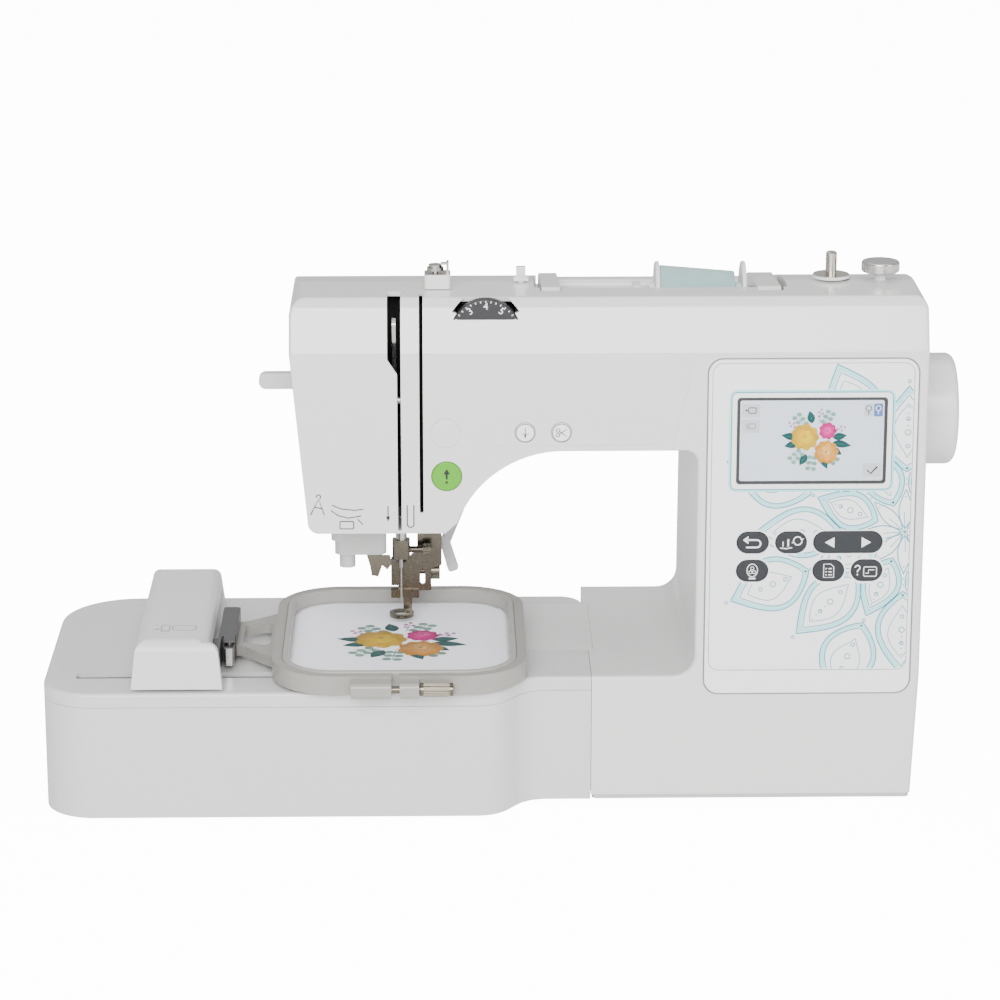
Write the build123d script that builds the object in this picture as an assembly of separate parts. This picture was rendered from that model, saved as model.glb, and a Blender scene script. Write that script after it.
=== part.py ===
from build123d import *
import math
import os

# Embroidery machine with a detachable hoop unit, millimetres.
# X runs to the right along the front, Y runs from the front to the rear, Z is up from the table.

# ---------------------------------------------------------------- overall sizes
body_depth = 168.0
unit_step = 25.0  # how far the embroidery unit stands in front of the machine
throat_reach = 161.6  # needle to pillar
throat_height = 128.2  # bed to arm
pillar_width = 124.0
arm_height = 82.4
head_overhang = 58.5  # needle to the head's left side
base_reach = 56.4  # pillar to the seam beside the embroidery unit
unit_length = 301.0
hoop_overhang = 16.5  # how far the hoop's lugs stand in front of the unit
handwheel_gap = 2.3
handwheel_width = 20.0
wall = 2.5
casing_edge_r = 2.0
table_gap = 2.5  # foot height
bed_z = 74.2

# ---------------------------------------------------------------- fits and clearances
running = 0.05  # radial play of a shaft in its bush
sliding = 0.3  # play between covers that slide past each other
cap_play = 0.35  # gap round a button, key or dial in its opening
mesh_play = 0.3  # play between a belt or gear and what it drives

# ---------------------------------------------------------------- key places
overall_width = unit_length + base_reach + pillar_width + handwheel_gap + handwheel_width
overall_depth = hoop_overhang + unit_step + body_depth
unit_left_x = -overall_width / 2
seam_x = unit_left_x + unit_length
pillar_x = seam_x + base_reach
right_x = pillar_x + pillar_width
needle_x = pillar_x - throat_reach
left_x = needle_x - head_overhang
rear_y = overall_depth / 2
front_y = rear_y - body_depth
unit_front_y = front_y - unit_step
needle_y = front_y + 85.5
arm_z = bed_z + throat_height
top_z = arm_z + arm_height
head_z = arm_z - 46.0  # underside of the head
band_z = top_z - 27.7  # foot of the tilted band along the arm's front
band_lean = 10.0
rim_y = front_y + 30.5  # front edge of the top cover
lid_z = top_z - 22.0  # lower edge of the top cover
cover_seam_y = front_y + 112.0

# ---------------------------------------------------------------- drive
shaft_y = front_y + 63.5
shaft_z = arm_z + 6.8
shaft_r = 3.5
lower_shaft_r = 3.0
hook_r = 17.5
hook_y = needle_y - hook_r - 1.0
worm_r = 4.2
hook_gear_r = 10.0
lower_shaft_y = hook_y + hook_gear_r + worm_r + mesh_play
lower_shaft_z = bed_z - 33.0
belt_x = pillar_x + 74.0
belt_width = 8.0
belt_thick = 1.6
timing_pulley_r = 12.0
motor_belt_x = belt_x + 15.0
motor_y = front_y + 74.5
motor_z = bed_z + 26.0
motor_r = 26.0
motor_pulley_r = 7.0
drive_pulley_r = 24.0
frame_y = needle_y + 22.0
frame_thick = 7.0
frame_inset = 10.0
handwheel_r = 31.0

# ---------------------------------------------------------------- head
needle_bar_r = 3.2
presser_bar_r = 3.2
presser_bar_y = needle_y + 12.0
slot_width = 2.0
left_slot_x = needle_x + 0.4
right_slot_x = needle_x + 12.3
take_up_x = needle_x - 2.2
take_up_width = 7.2
dial_x = needle_x + 47.2
dial_r = 19.0
dial_y = (front_y + 7.5, front_y + 13.5)
dial_z = top_z - 18.6
dial_window = 18.2
start_button_x = needle_x + 25.9
start_button_z = arm_z - 13.5
start_button_r = 8.1
strip_z = arm_z + 10.7
strip_height = 14.8
blank_cap_r = 8.2
small_button_r = 5.35
position_button_x = needle_x + 68.3
cutter_button_x = needle_x + 87.9

# ---------------------------------------------------------------- panel
panel_x = pillar_x + 5.0
panel_width = 113.6
panel_z = 63.9
panel_height = 190.0
panel_corner = 8.0
bezel_depth = 2.0
overlay_margin = 2.2
overlay_foot = 13.5
screen_x = pillar_x + 20.8
screen_z = 183.8
screen_width = 81.3
screen_height = 48.6
key_height = 12.0
key_row_z = [150.9, 134.8]
key_proud = 0.8

# ---------------------------------------------------------------- top
spool_y = rim_y + 39.0
spool_z = top_z - 10.0
spool_pin_r = 2.6
spool_cap_r = 17.0
tray_floor_z = spool_z - spool_cap_r - 1.0
tray_x = (needle_x + 74.0, needle_x + 212.0)
tray_y = (rim_y + 8.0, rim_y + 68.0)
handle_pivot_y = rim_y + 14.0
handle_pivot_z = top_z - 6.5
handle_grip_y = rim_y + 84.0
winder_x = pillar_x + 76.0
winder_y = rim_y + 29.0
winder_r = 3.1
winder_travel = 5.0
winder_stop_x = winder_x + 27.2

# ---------------------------------------------------------------- free arm and hook
free_arm_left_x = left_x + 1.0
free_arm_y = (front_y + 46.5, front_y + 129.5)
free_arm_z = bed_z - 44.2
plate_thick = 1.6

# ---------------------------------------------------------------- embroidery unit
unit_top_z = bed_z
unit_lip = 8.0
unit_rear_y = rear_y - 22.0
unit_step_x = (seam_x - 60.8, seam_x - 27.2)
x_travel = 50.0
y_travel = 50.0
carriage_x = (unit_left_x + 49.7, unit_left_x + 99.7)
carriage_y = (unit_front_y + 2.5, unit_front_y + 147.5)
carriage_z = (unit_top_z + 1.6, unit_top_z + 28.0)
carriage_slot_y = unit_front_y + 31.0
carriage_slot_width = 6.0
hoop_x = needle_x - 0.5
hoop_z = unit_top_z + 1.4
hoop_height = 10.6
window_width = 122.0
window_depth = 142.0
inner_ring_wall = 3.4
ring_seam = 0.2
outer_ring_wall = 5.4
lug_depth = 9.4
hoop_wall = inner_ring_wall + ring_seam + outer_ring_wall
hoop_y = unit_front_y - hoop_overhang + lug_depth + hoop_wall + window_depth / 2
window_corner = 26.0
fabric_thick = 0.6
fabric_rise = 3.0  # fabric underside above the hoop's underside
needle_hole_r = 1.0

# ---------------------------------------------------------------- small parts' places
inlet_y = cover_seam_y + 20.0
inlet_z = 32.0
switch_z = 60.0
threader_y = needle_y - 20.0
threader_rod_x = needle_x - 31.0
threader_travel = 24.0
threader_drop = 38.0  # head's underside to the threader's lowest cup
threader_z = arm_z + 24.0
threader_slot_z = (threader_z - threader_travel - 5.5, threader_z + 5.5)
rear_guide_x = needle_x + 67.0
rear_guide_y = rim_y + 25.0
handle_arm_x = [(needle_x + 78.0, needle_x + 88.0), (pillar_x + 34.0, pillar_x + 47.0)]
hook_z = (bed_z - 24.0, bed_z - 8.0)
hook_block_z = (bed_z - 28.0, bed_z - 25.0)
motor_x = (pillar_x + 22, pillar_x + 66)
crank_x = (needle_x + 19, needle_x + 24)
clamp_z = bed_z + 47.5
ring_z = (bed_z + 8.0, bed_z + 10.0)
lever_y = (presser_bar_y + 4.4, presser_bar_y + 7.8)
lever_pivot = (needle_x + 24, head_z + 10)
take_up_pivot = (front_y + 34, top_z - 62)
spool_end_x = (handle_arm_x[0][1] + 54.4, handle_arm_x[0][1] + 102.0)
rail_z = bed_z - 30.0
screw_r = 2.0
carriage_mid_x = (carriage_x[0] + carriage_x[1]) / 2
slide_y = carriage_y[0] + 34.5  # hoop holder's slide on the carriage's rail
slide_half = 14.0
forward_travel = y_travel - (needle_y - hoop_y)
rearward_travel = y_travel + (needle_y - hoop_y)


# ---------------------------------------------------------------- helpers
def block(x, y, z):
    centre = Pos(sum(x) / 2, sum(y) / 2, sum(z) / 2)
    return centre * Box(x[1] - x[0], y[1] - y[0], z[1] - z[0])


def rod_x(y, z, radius, x):
    return Pos(sum(x) / 2, y, z) * Rot(0, 90, 0) * Cylinder(radius, x[1] - x[0])


def rod_y(x, z, radius, y):
    return Pos(x, sum(y) / 2, z) * Rot(90, 0, 0) * Cylinder(radius, y[1] - y[0])


def rod_z(x, y, radius, z):
    return Pos(x, y, sum(z) / 2) * Cylinder(radius, z[1] - z[0])


def along_y(sketch, y):
    """A front-view sketch (x, z) given depth between two y values."""
    return extrude(Plane.XZ.offset(-y[1]) * sketch, amount=y[1] - y[0])


def along_x(sketch, x):
    """A side-view sketch (y, z) given length between two x values."""
    return extrude(Plane.YZ.offset(x[0]) * sketch, amount=x[1] - x[0])


def along_z(sketch, z):
    return Pos(0, 0, z[0]) * extrude(sketch, amount=z[1] - z[0])


def outline(points, radii):
    return make_face(FilletPolyline(*points, radius=radii, close=True))


def pill(x, z, width, height):
    """A rounded bar centred on (x, z) in a sketch."""
    return Pos(x, z) * SlotOverall(width, height)


def rounded(x, y, width, height, corner):
    """A rounded rectangle with its lower left corner at (x, y)."""
    return Pos(x + width / 2, y + height / 2) * RectangleRounded(width, height, corner)


def round_edges(solid, axis, low, high, radius):
    """Fillet the edges that lie between two positions along an axis."""
    return fillet(solid.edges().filter_by_position(axis, low, high), radius)


def save(name, solid):
    export_step(solid, f"parts/{name}.step")


# ---------------------------------------------------------------- casing form
def front_outline():
    arc_r = 61.0
    arc_x = needle_x + 89.0
    arc_end = math.radians(160)
    arc_low = (arc_x + arc_r * math.cos(arc_end), arc_z_of(arc_r, arc_end))
    head_right_x = arc_low[0] - 6.5
    lines = [
        Line((arc_x, arc_z_of(arc_r, math.pi / 2)), (pillar_x, arm_z)),
        Line((pillar_x, arm_z), (pillar_x, bed_z)),
        Line((pillar_x, bed_z), (seam_x, bed_z)),
        Line((seam_x, bed_z), (seam_x, table_gap)),
        Line((seam_x, table_gap), (right_x - 3.0, table_gap)),
        Line((right_x - 3.0, table_gap), (right_x, bed_z)),
        Line((right_x, bed_z), (right_x, top_z)),
        Line((right_x, top_z), (left_x, top_z)),
        Line((left_x, top_z), (left_x, band_z)),
        Line((left_x, band_z), (left_x + 9.4, head_z)),
        Line((left_x + 9.4, head_z), (head_right_x, head_z)),
        Line((head_right_x, head_z), arc_low),
        ThreePointArc(
            arc_low,
            (
                arc_x + arc_r * math.cos(math.radians(125)),
                arc_z_of(arc_r, math.radians(125)),
            ),
            (arc_x, arm_z),
        ),
    ]
    return make_face(lines)


def arc_z_of(radius, angle):
    return arm_z - radius + radius * math.sin(angle)


def corner_near(sketch, x, z):
    return sketch.vertices().sort_by_distance((x, z, 0))[0]


def casing_front(inset):
    face = front_outline()
    face = fillet(corner_near(face, pillar_x, bed_z), 12)
    face = fillet(corner_near(face, pillar_x, arm_z), 7)
    face = fillet(corner_near(face, right_x, top_z), 7)
    face = fillet(corner_near(face, left_x, top_z), 9)
    face = fillet(corner_near(face, left_x + 9.4, head_z), 6)
    if inset:
        face = offset(face, amount=-inset, kind=Kind.INTERSECTION)
    return face


def casing_side(inset):
    points = [
        (front_y, table_gap),
        (front_y, band_z),
        (front_y + band_lean, top_z - 3.8),
        (front_y + 15.5, top_z),
        (rim_y + 29.0, top_z - 0.9),
        (rim_y + 69.0, top_z - 7.0),
        (rear_y - 30.0, top_z - 20.0),
        (rear_y - 17.0, top_z - 48.0),
        (rear_y, table_gap),
    ]
    face = outline(points, [0, 12, 3, 5, 60, 40, 14, 20, 4])
    if inset:
        face = offset(face, amount=-inset, kind=Kind.INTERSECTION)
    return face


def casing_solid(inset):
    whole_y = (front_y - 1, rear_y + 1)
    whole_x = (left_x - 1, right_x + 1)
    return along_y(casing_front(inset), whole_y) & along_x(casing_side(inset), whole_x)


def softened_casing():
    """The outer form with its front and side edges rounded."""
    form = casing_solid(0)
    front_edges = form.edges().filter_by_position(Axis.Y, front_y - 0.01, front_y + 0.01)
    front_edges = [e for e in front_edges if e.center().Z > table_gap + 1]
    front_edges = [e for e in front_edges if e.center().X > seam_x + 1 or e.center().Z > bed_z + 20]
    return fillet(front_edges, casing_edge_r)


def top_region():
    """The part of the casing that the top cover takes."""
    wide = (left_x - 5, right_x + 5)
    return block(wide, (rim_y, rear_y + 5), (lid_z, top_z + 5))


def thread_slots():
    """Openings down the head for the thread path and the take-up lever."""
    head_front = (front_y - 1, front_y + 26)
    left = block(
        (left_slot_x - slot_width / 2, left_slot_x + slot_width / 2),
        head_front,
        (head_z + 2, top_z + 1),
    )
    right = block(
        (right_slot_x - slot_width / 2, right_slot_x + slot_width / 2),
        (front_y - 1, rim_y),
        (head_z + 12, top_z + 1),
    )
    low_z = top_z - 39.0
    wide_z = top_z - 31.0
    take_up = make_face(
        Polyline(
            (take_up_x + take_up_width / 2, low_z),
            (take_up_x + take_up_width / 2, top_z + 3),
            (take_up_x - take_up_width / 2, top_z + 3),
            (take_up_x - take_up_width / 2, wide_z),
            (take_up_x + take_up_width / 2 - slot_width, low_z),
            close=True,
        )
    )
    return left + right + along_y(take_up, (front_y - 1, rim_y))


def button_openings():
    opening_y = (front_y - 2, front_y + wall + 2)
    cuts = rod_y(start_button_x, start_button_z, start_button_r + cap_play, opening_y)
    groove_y = (front_y, front_y + 1.3)
    cuts += rod_y(start_button_x - 0.5, strip_z, blank_cap_r, groove_y)
    cuts -= rod_y(start_button_x - 0.5, strip_z, blank_cap_r - 0.35, groove_y)
    for x in (position_button_x, cutter_button_x):
        cuts += rod_y(x, strip_z, small_button_r + cap_play, opening_y)
    return cuts


def arm_recess():
    """The arm's front stands a little behind the pillar and the tilted band."""
    points = [
        (left_x - 2, head_z - 2),
        (pillar_x - 14.0, head_z - 2),
        (pillar_x - 14.0, arm_z),
        (pillar_x - 4.8, arm_z + 38),
        (pillar_x - 4.8, band_z),
        (left_x - 2, band_z),
    ]
    shape = outline(points, [0, 0, 10, 14, 12, 0])
    strip = pill(needle_x + 92.7, strip_z, 99.8, strip_height)
    return along_y(shape, (front_y - 1, front_y + 0.8)) + along_y(strip, (front_y, front_y + 1.3))


def dial_opening():
    """Lens-shaped window through the tilted band and the top's front edge."""
    lens = make_face(
        [
            ThreePointArc((-dial_window, 0), (0, 9.5), (dial_window, 0)),
            ThreePointArc((dial_window, 0), (0, -3.0), (-dial_window, 0)),
        ]
    )
    window = along_y(Pos(dial_x, dial_z + dial_r - 7.0) * lens, (front_y - 1, dial_y[1] + 3))
    room = (dial_y[0] - cap_play, dial_y[1] + cap_play)
    return window + rod_y(dial_x, dial_z, dial_r + cap_play, room)


def panel_recess():
    shape = rounded(panel_x, panel_z, panel_width, panel_height, panel_corner)
    return along_y(shape, (front_y - 1, front_y + bezel_depth))


def panel_window():
    """Hole behind the panel for the screen and the key stems."""
    low = panel_z + overlay_foot + 4
    shape = rounded(panel_x + 6, low, panel_width - 12, panel_height - overlay_foot - 10, 4)
    return along_y(shape, (front_y - 1, front_y + wall + 3))


def free_arm_notch():
    """Opening in the casing's left side where the free arm enters."""
    return block(
        (seam_x - 1, seam_x + wall + 0.15),
        (free_arm_y[0] - 0.2, free_arm_y[1] + 0.2),
        (free_arm_z - 0.2, bed_z + 1),
    )


outer_form = softened_casing()
inner_form = casing_solid(wall)
shell = outer_form - inner_form
shell = shell - block((left_x - 5, right_x + 5), (front_y - 5, rear_y + 5), (0, table_gap + wall))


def needle_opening():
    """Opening in the head's underside for the needle and presser bars."""
    hole = block(
        (threader_rod_x - 4, needle_x + 22),
        (threader_y - 8, needle_y + 20),
        (head_z - 2, head_z + wall + 2),
    )
    lever_x = (lever_pivot[0] - 7, lever_pivot[0] + 16)
    return hole + block(lever_x, (lever_y[0] - 1, lever_y[1] + 1), (head_z - 2, head_z + 26))


def front_cover():
    part = shell & block((left_x - 5, right_x + 5), (front_y - 5, cover_seam_y), (0, top_z + 5))
    part = part - top_region()
    part = part - arm_recess() - thread_slots() - button_openings() - dial_opening()
    part = part - panel_recess() - panel_window() - free_arm_notch() - needle_opening()
    part = part - rod_x(shaft_y, shaft_z, shaft_r + 6, (right_x - 6, right_x + 2))
    lever = block((left_x - 2, left_x + 12), (threader_y - 4, threader_y + 4), threader_slot_z)
    return part - lever


def rear_cover():
    part = shell & block((left_x - 5, right_x + 5), (cover_seam_y, rear_y + 5), (0, top_z + 5))
    part = part - top_region() - free_arm_notch()
    inlet = block((right_x - 6, right_x + 2), (inlet_y - 11, inlet_y + 11), (inlet_z - 8, inlet_z + 8))
    switch = block((right_x - 6, right_x + 2), (inlet_y - 9, inlet_y + 9), (switch_z - 12, switch_z + 12))
    return part - inlet - switch


def top_cover():
    part = shell & top_region()
    floor_z = tray_floor_z - wall
    margin = 4.0
    tray = block(
        (tray_x[0] - margin, tray_x[1] + margin),
        (tray_y[0] - margin, tray_y[1] + margin),
        (floor_z, top_z + 1),
    )
    part = part + (tray & outer_form) + handle_shelf()
    well = rounded(tray_x[0], tray_y[0], tray_x[1] - tray_x[0], tray_y[1] - tray_y[0], 5)
    part = part - along_z(well, (tray_floor_z, top_z + 3))
    part = part - handle_channel() - thread_slots() - winder_slot()
    part = part - rod_z(winder_stop_x, winder_y, 3.3, (top_z - 9, top_z + 2))
    part = part - rod_z(rear_guide_x, rear_guide_y, 1.8, (top_z - 8, top_z + 2)) - handle_pins()
    return part - dial_opening()


def winder_slot():
    slot = Pos(winder_x + winder_travel / 2, winder_y) * SlotOverall(winder_travel + 11, 11)
    return along_z(slot, (top_z - 10, top_z + 2))


def handle_channel():
    """Room behind the spool tray for the folded handle's arms and grip."""
    low, high = handle_arm_x[0][0] - 1.5, handle_arm_x[1][1] + 1.5
    rear = block((low, high), (tray_y[1] - 1, rear_y + 5), (lid_z + 1.4, top_z + 5))
    notches = [
        block((x[0] - 1, x[1] + 1), (rim_y - 1, tray_y[0] + 1), (tray_floor_z, top_z + 5))
        for x in handle_arm_x
    ]
    return rear + notches


def handle_shelf():
    """Floor under the folded grip."""
    low, high = handle_arm_x[0][0] - 4, handle_arm_x[1][1] + 4
    return block((low, high), (tray_y[1], rear_y), (lid_z, top_z)) & outer_form


def base_tray():
    part = block(
        (seam_x + 0.5, right_x - 3.5),
        (front_y + 0.5, rear_y - 0.5),
        (table_gap, table_gap + wall),
    )
    part = fillet(part.edges().filter_by(Axis.Z), 3)
    rib = (table_gap + wall, table_gap + 12)
    ribs = [block((x, x + 2), (front_y + 20, rear_y - 20), rib) for x in (seam_x + 20, right_x - 30)]
    part = part + ribs
    for x, y in screw_places():
        part -= rod_z(x, y, 1.4, (0, 12))
    return part


def screw_places():
    return [(seam_x + 12, rear_y - 40), (right_x - 16, rear_y - 40), (right_x - 16, front_y + 40)]


def foot_places():
    base = [(x, y) for x in (seam_x + 16, right_x - 18) for y in (front_y + 15, rear_y - 15)]
    return base


def rubber_feet():
    return [rod_z(x, y, 7.5, (0, table_gap)) for x, y in foot_places()]


def unit_feet():
    places = [(unit_left_x + 36, unit_front_y + 34), (unit_left_x + 36, unit_rear_y - 34)]
    places += [(seam_x - 80, unit_front_y + 22), (seam_x - 30, unit_rear_y - 14)]
    return [rod_z(x, y, 5.0, (0, table_gap)) for x, y in places]


# ---------------------------------------------------------------- frame and drive
def timing_belt():
    return loop_belt(lower_shaft_y, lower_shaft_z, timing_pulley_r, timing_pulley_r, belt_span(belt_x))


def motor_belt():
    return loop_belt(motor_y, motor_z, drive_pulley_r, motor_pulley_r, belt_span(motor_belt_x))


def shaft_supports():
    return [(pillar_x + 10, pillar_x + 20), (right_x - 18, right_x - 8), (needle_x + 28, needle_x + 38)]


def arm_frame():
    """Cast C-shaped plate behind the needle bar, with bearing arms reaching forward."""
    plate_y = (frame_y, frame_y + frame_thick)
    face = casing_front(frame_inset)
    part = along_y(face, plate_y) & block(
        (left_x, right_x), plate_y, (table_gap + 13, lid_z - 6)
    )
    low_arm_z = (free_arm_z + wall + 2, bed_z - wall - 3)
    part += block((free_arm_left_x + 8, seam_x + 30), plate_y, low_arm_z)
    for x in shaft_supports():
        part += block(x, (shaft_y - 9, frame_y + 1), (shaft_z - 3.5, shaft_z + 16))
        part -= rod_x(shaft_y, shaft_z, shaft_r + running, x)
    for x in lower_supports():
        part += block(x, (lower_shaft_y - 7, frame_y + 1), (lower_shaft_z - 7, lower_shaft_z + 8))
        part -= rod_x(lower_shaft_y, lower_shaft_z, lower_shaft_r + running, x)
    for z in bar_guides():
        part += block((needle_x - 8, needle_x + 8), (needle_y - 7, frame_y + 1), z)
        part -= rod_z(needle_x, needle_y, needle_bar_r + running, z)
        part -= rod_z(needle_x, presser_bar_y, presser_bar_r + running, z)
    hook_block = (hook_block_z[0], hook_block_z[1])
    part += block((needle_x - 8, needle_x + 8), (hook_y - 7, frame_y + 1), hook_block)
    part -= rod_z(needle_x, hook_y, 4.0 + running, hook_block)
    motor_plate_x = (motor_x[1], motor_x[1] + 3)
    part += block(motor_plate_x, (motor_y - 20, frame_y + 1), (motor_z - 16, motor_z + 16))
    part -= rod_x(motor_y, motor_z, 4.0, motor_plate_x)
    part -= along_x(belt_hull(lower_shaft_y, lower_shaft_z, timing_pulley_r, 8), belt_span(belt_x, 2))
    return part - rod_x(shaft_y, shaft_z, drive_pulley_r + 6, belt_span(motor_belt_x, 2))


def lower_supports():
    return [(needle_x + 40, needle_x + 50), (pillar_x + 10, pillar_x + 20)]


def bar_guides():
    return [(head_z + 5, head_z + 15), (lid_z - 22, lid_z - 14)]


def belt_span(x, play=0.0):
    return (x - play, x + belt_width + play)


def belt_hull(y, z, radius, spare):
    """Outline round the upper shaft's pulley and one more pulley."""
    top = Pos(shaft_y, shaft_z) * Circle(radius + spare)
    low = Pos(y, z) * Circle(radius + spare)
    return make_hull([*top.edges(), *low.edges()])


def loop_belt(y, z, top_r, low_r, x):
    play = mesh_play
    top_in = Pos(shaft_y, shaft_z) * Circle(top_r + play)
    low_in = Pos(y, z) * Circle(low_r + play)
    top_out = Pos(shaft_y, shaft_z) * Circle(top_r + play + belt_thick)
    low_out = Pos(y, z) * Circle(low_r + play + belt_thick)
    ring = make_hull([*top_out.edges(), *low_out.edges()]) - make_hull([*top_in.edges(), *low_in.edges()])
    return along_x(ring, x)


def upper_shaft():
    shaft = rod_x(shaft_y, shaft_z, shaft_r, (crank_x[0], right_x + handwheel_gap + 12))
    crank = rod_x(shaft_y, shaft_z, 11.0, crank_x)
    pin = rod_x(shaft_y - 7.5, shaft_z, 1.8, (crank_x[0] - 2, crank_x[0]))
    return shaft + crank + pin


def pulley(y, z, radius, bore, x):
    body = rod_x(y, z, radius, x)
    groove_count = max(8, int(radius * 1.6))
    for n in range(groove_count):
        angle = 2 * math.pi * n / groove_count
        at_y, at_z = y + radius * math.cos(angle), z + radius * math.sin(angle)
        body -= rod_x(at_y, at_z, 0.7, x)
    return body - rod_x(y, z, bore, x)


def handwheel():
    x0 = right_x + handwheel_gap
    wheel = rod_x(shaft_y, shaft_z, handwheel_r, (x0, x0 + handwheel_width))
    wheel = fillet(wheel.edges().filter_by(GeomType.CIRCLE).sort_by(Axis.X)[-1], 5)
    wheel = fillet(wheel.edges().filter_by(GeomType.CIRCLE).sort_by(Axis.X)[0], 1.5)
    wheel -= rod_x(shaft_y, shaft_z, handwheel_r - 9, (x0 + handwheel_width - 3, x0 + handwheel_width))
    hub = right_x + handwheel_gap + 12
    return wheel - rod_x(shaft_y, shaft_z, shaft_r, (x0 - 1, hub))


def main_motor():
    body = rod_x(motor_y, motor_z, motor_r, motor_x)
    body = fillet(body.edges().filter_by(GeomType.CIRCLE), 2)
    return body


def motor_pulley():
    x = belt_span(motor_belt_x)
    shaft = rod_x(motor_y, motor_z, 2.5, (motor_x[1] + 0.4, x[1]))
    return shaft + pulley(motor_y, motor_z, motor_pulley_r, 2.5, x)


def lower_shaft():
    shaft = rod_x(lower_shaft_y, lower_shaft_z, lower_shaft_r, (needle_x - 10, belt_span(belt_x)[1]))
    worm = rod_x(lower_shaft_y, lower_shaft_z, worm_r, (needle_x - 8, needle_x + 8))
    return shaft + worm + pulley(lower_shaft_y, lower_shaft_z, timing_pulley_r, 3.0, belt_span(belt_x))


def rotary_hook():
    cup = rod_z(needle_x, hook_y, hook_r, hook_z)
    cup -= rod_z(needle_x, hook_y, hook_r - 1.5, (hook_z[0] + 1.5, hook_z[1]))
    stem = rod_z(needle_x, hook_y, 4.0, (hook_block_z[0] - 5.6, hook_z[0]))
    gear = rod_z(needle_x, hook_y, hook_gear_r, (hook_block_z[0] - 5.6, hook_block_z[0] - 0.4))
    notch = block((needle_x - 16, needle_x - 6), (hook_y + 10, hook_y + 20), (hook_z[1] - 5, hook_z[1]))
    return cup + stem + gear - notch


def bobbin_case():
    z = (hook_z[0] + 2.0, hook_z[1] + 3.4)
    case = rod_z(needle_x, hook_y, hook_r - 2.0, z)
    return case - rod_z(needle_x, hook_y, hook_r - 3.2, (z[0] + 1.2, z[1]))


def bobbin():
    z0 = hook_z[0] + 3.6
    reel = rod_z(needle_x, hook_y, 10.3, (z0, z0 + 11.5))
    reel -= rod_z(needle_x, hook_y, 10.4, (z0 + 1.2, z0 + 10.3)) - rod_z(needle_x, hook_y, 8.6, (z0, z0 + 12))
    return reel - rod_z(needle_x, hook_y, 3.1, (z0, z0 + 11.5))


def free_arm():
    rear = free_arm_y[1]
    outer = block((free_arm_left_x, seam_x + wall), free_arm_y, (free_arm_z, bed_z))
    outer = fillet(outer.edges().filter_by(Axis.Z).sort_by(Axis.X)[:2], 9)
    hollow = block(
        (free_arm_left_x + wall, seam_x + wall + 1),
        (free_arm_y[0] + wall, rear - wall),
        (free_arm_z + wall, bed_z - wall),
    )
    outer = outer - hollow - needle_plate_pocket(0.15)
    outer -= rod_z(needle_x, hook_y, hook_r + 1.0, (bed_z - wall - 1, bed_z + 1))
    return outer - block((needle_x - 8, needle_x + 8), (needle_y - 5, needle_y + 5), (bed_z - 4, bed_z))


def needle_plate_pocket(play):
    """The needle plate's outline, let into the bed by its own thickness."""
    size = (needle_x - 36 - play, needle_x + 26 + play)
    depth = (hook_y - 18 - play, needle_y + 32 + play)
    shape = rounded(size[0], depth[0], size[1] - size[0], depth[1] - depth[0], 4 + play)
    return along_z(shape, (bed_z - plate_thick, bed_z))


def window_pocket(play):
    size = 38.0 + 2 * play
    shape = rounded(needle_x - size / 2, hook_y - 15.5 - play, size, 32.0 + 2 * play, 5)
    return along_z(shape, (bed_z - plate_thick, bed_z))


def needle_plate():
    """Steel plate with the needle's hole, and the clear window over the bobbin."""
    hole = rod_z(needle_x, needle_y, 1.4, (bed_z - 3, bed_z + 1))
    return Compound([needle_plate_pocket(0) - window_pocket(0.15) - hole, window_pocket(0)])


# ---------------------------------------------------------------- head parts


def needle_bar():
    bar = rod_z(needle_x, needle_y, needle_bar_r, (clamp_z + 2, lid_z - 6))
    strap_x = (crank_x[0] - 5.5, crank_x[0] - 3)
    strap = block(strap_x, (needle_y - 4, needle_y + 4), (head_z + 46, head_z + 70))
    collar = block((needle_x - 5, strap_x[1]), (needle_y - 5, needle_y + 5), (head_z + 50, head_z + 56))
    return bar + strap + collar


def needle_clamp():
    body = block((needle_x - 5, needle_x + 5), (needle_y - 4, needle_y + 4), (clamp_z - 5, clamp_z + 6))
    body = chamfer(body.edges().filter_by(Axis.Z), 1.0)
    screw = rod_x(needle_y, clamp_z, 1.9, (needle_x + 5, needle_x + 17))
    knob = rod_x(needle_y, clamp_z, 3.2, (needle_x + 12, needle_x + 17))
    body = body - rod_z(needle_x, needle_y, needle_bar_r, (clamp_z + 2, clamp_z + 7))
    return body - rod_z(needle_x, needle_y, 1.0, (clamp_z - 6, clamp_z + 2)) + screw + knob


def needle():
    tip_z = bed_z + 15.0
    shank = rod_z(needle_x, needle_y, 1.0, (clamp_z - 11, clamp_z + 2))
    blade = rod_z(needle_x, needle_y, 0.5, (tip_z + 4, clamp_z - 11))
    point = Pos(needle_x, needle_y, tip_z + 2) * Cone(0.1, 0.5, 4)
    return shank + blade + point


def presser_bar():
    return rod_z(needle_x, presser_bar_y, presser_bar_r, (bed_z + 36, lid_z - 6))


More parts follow.
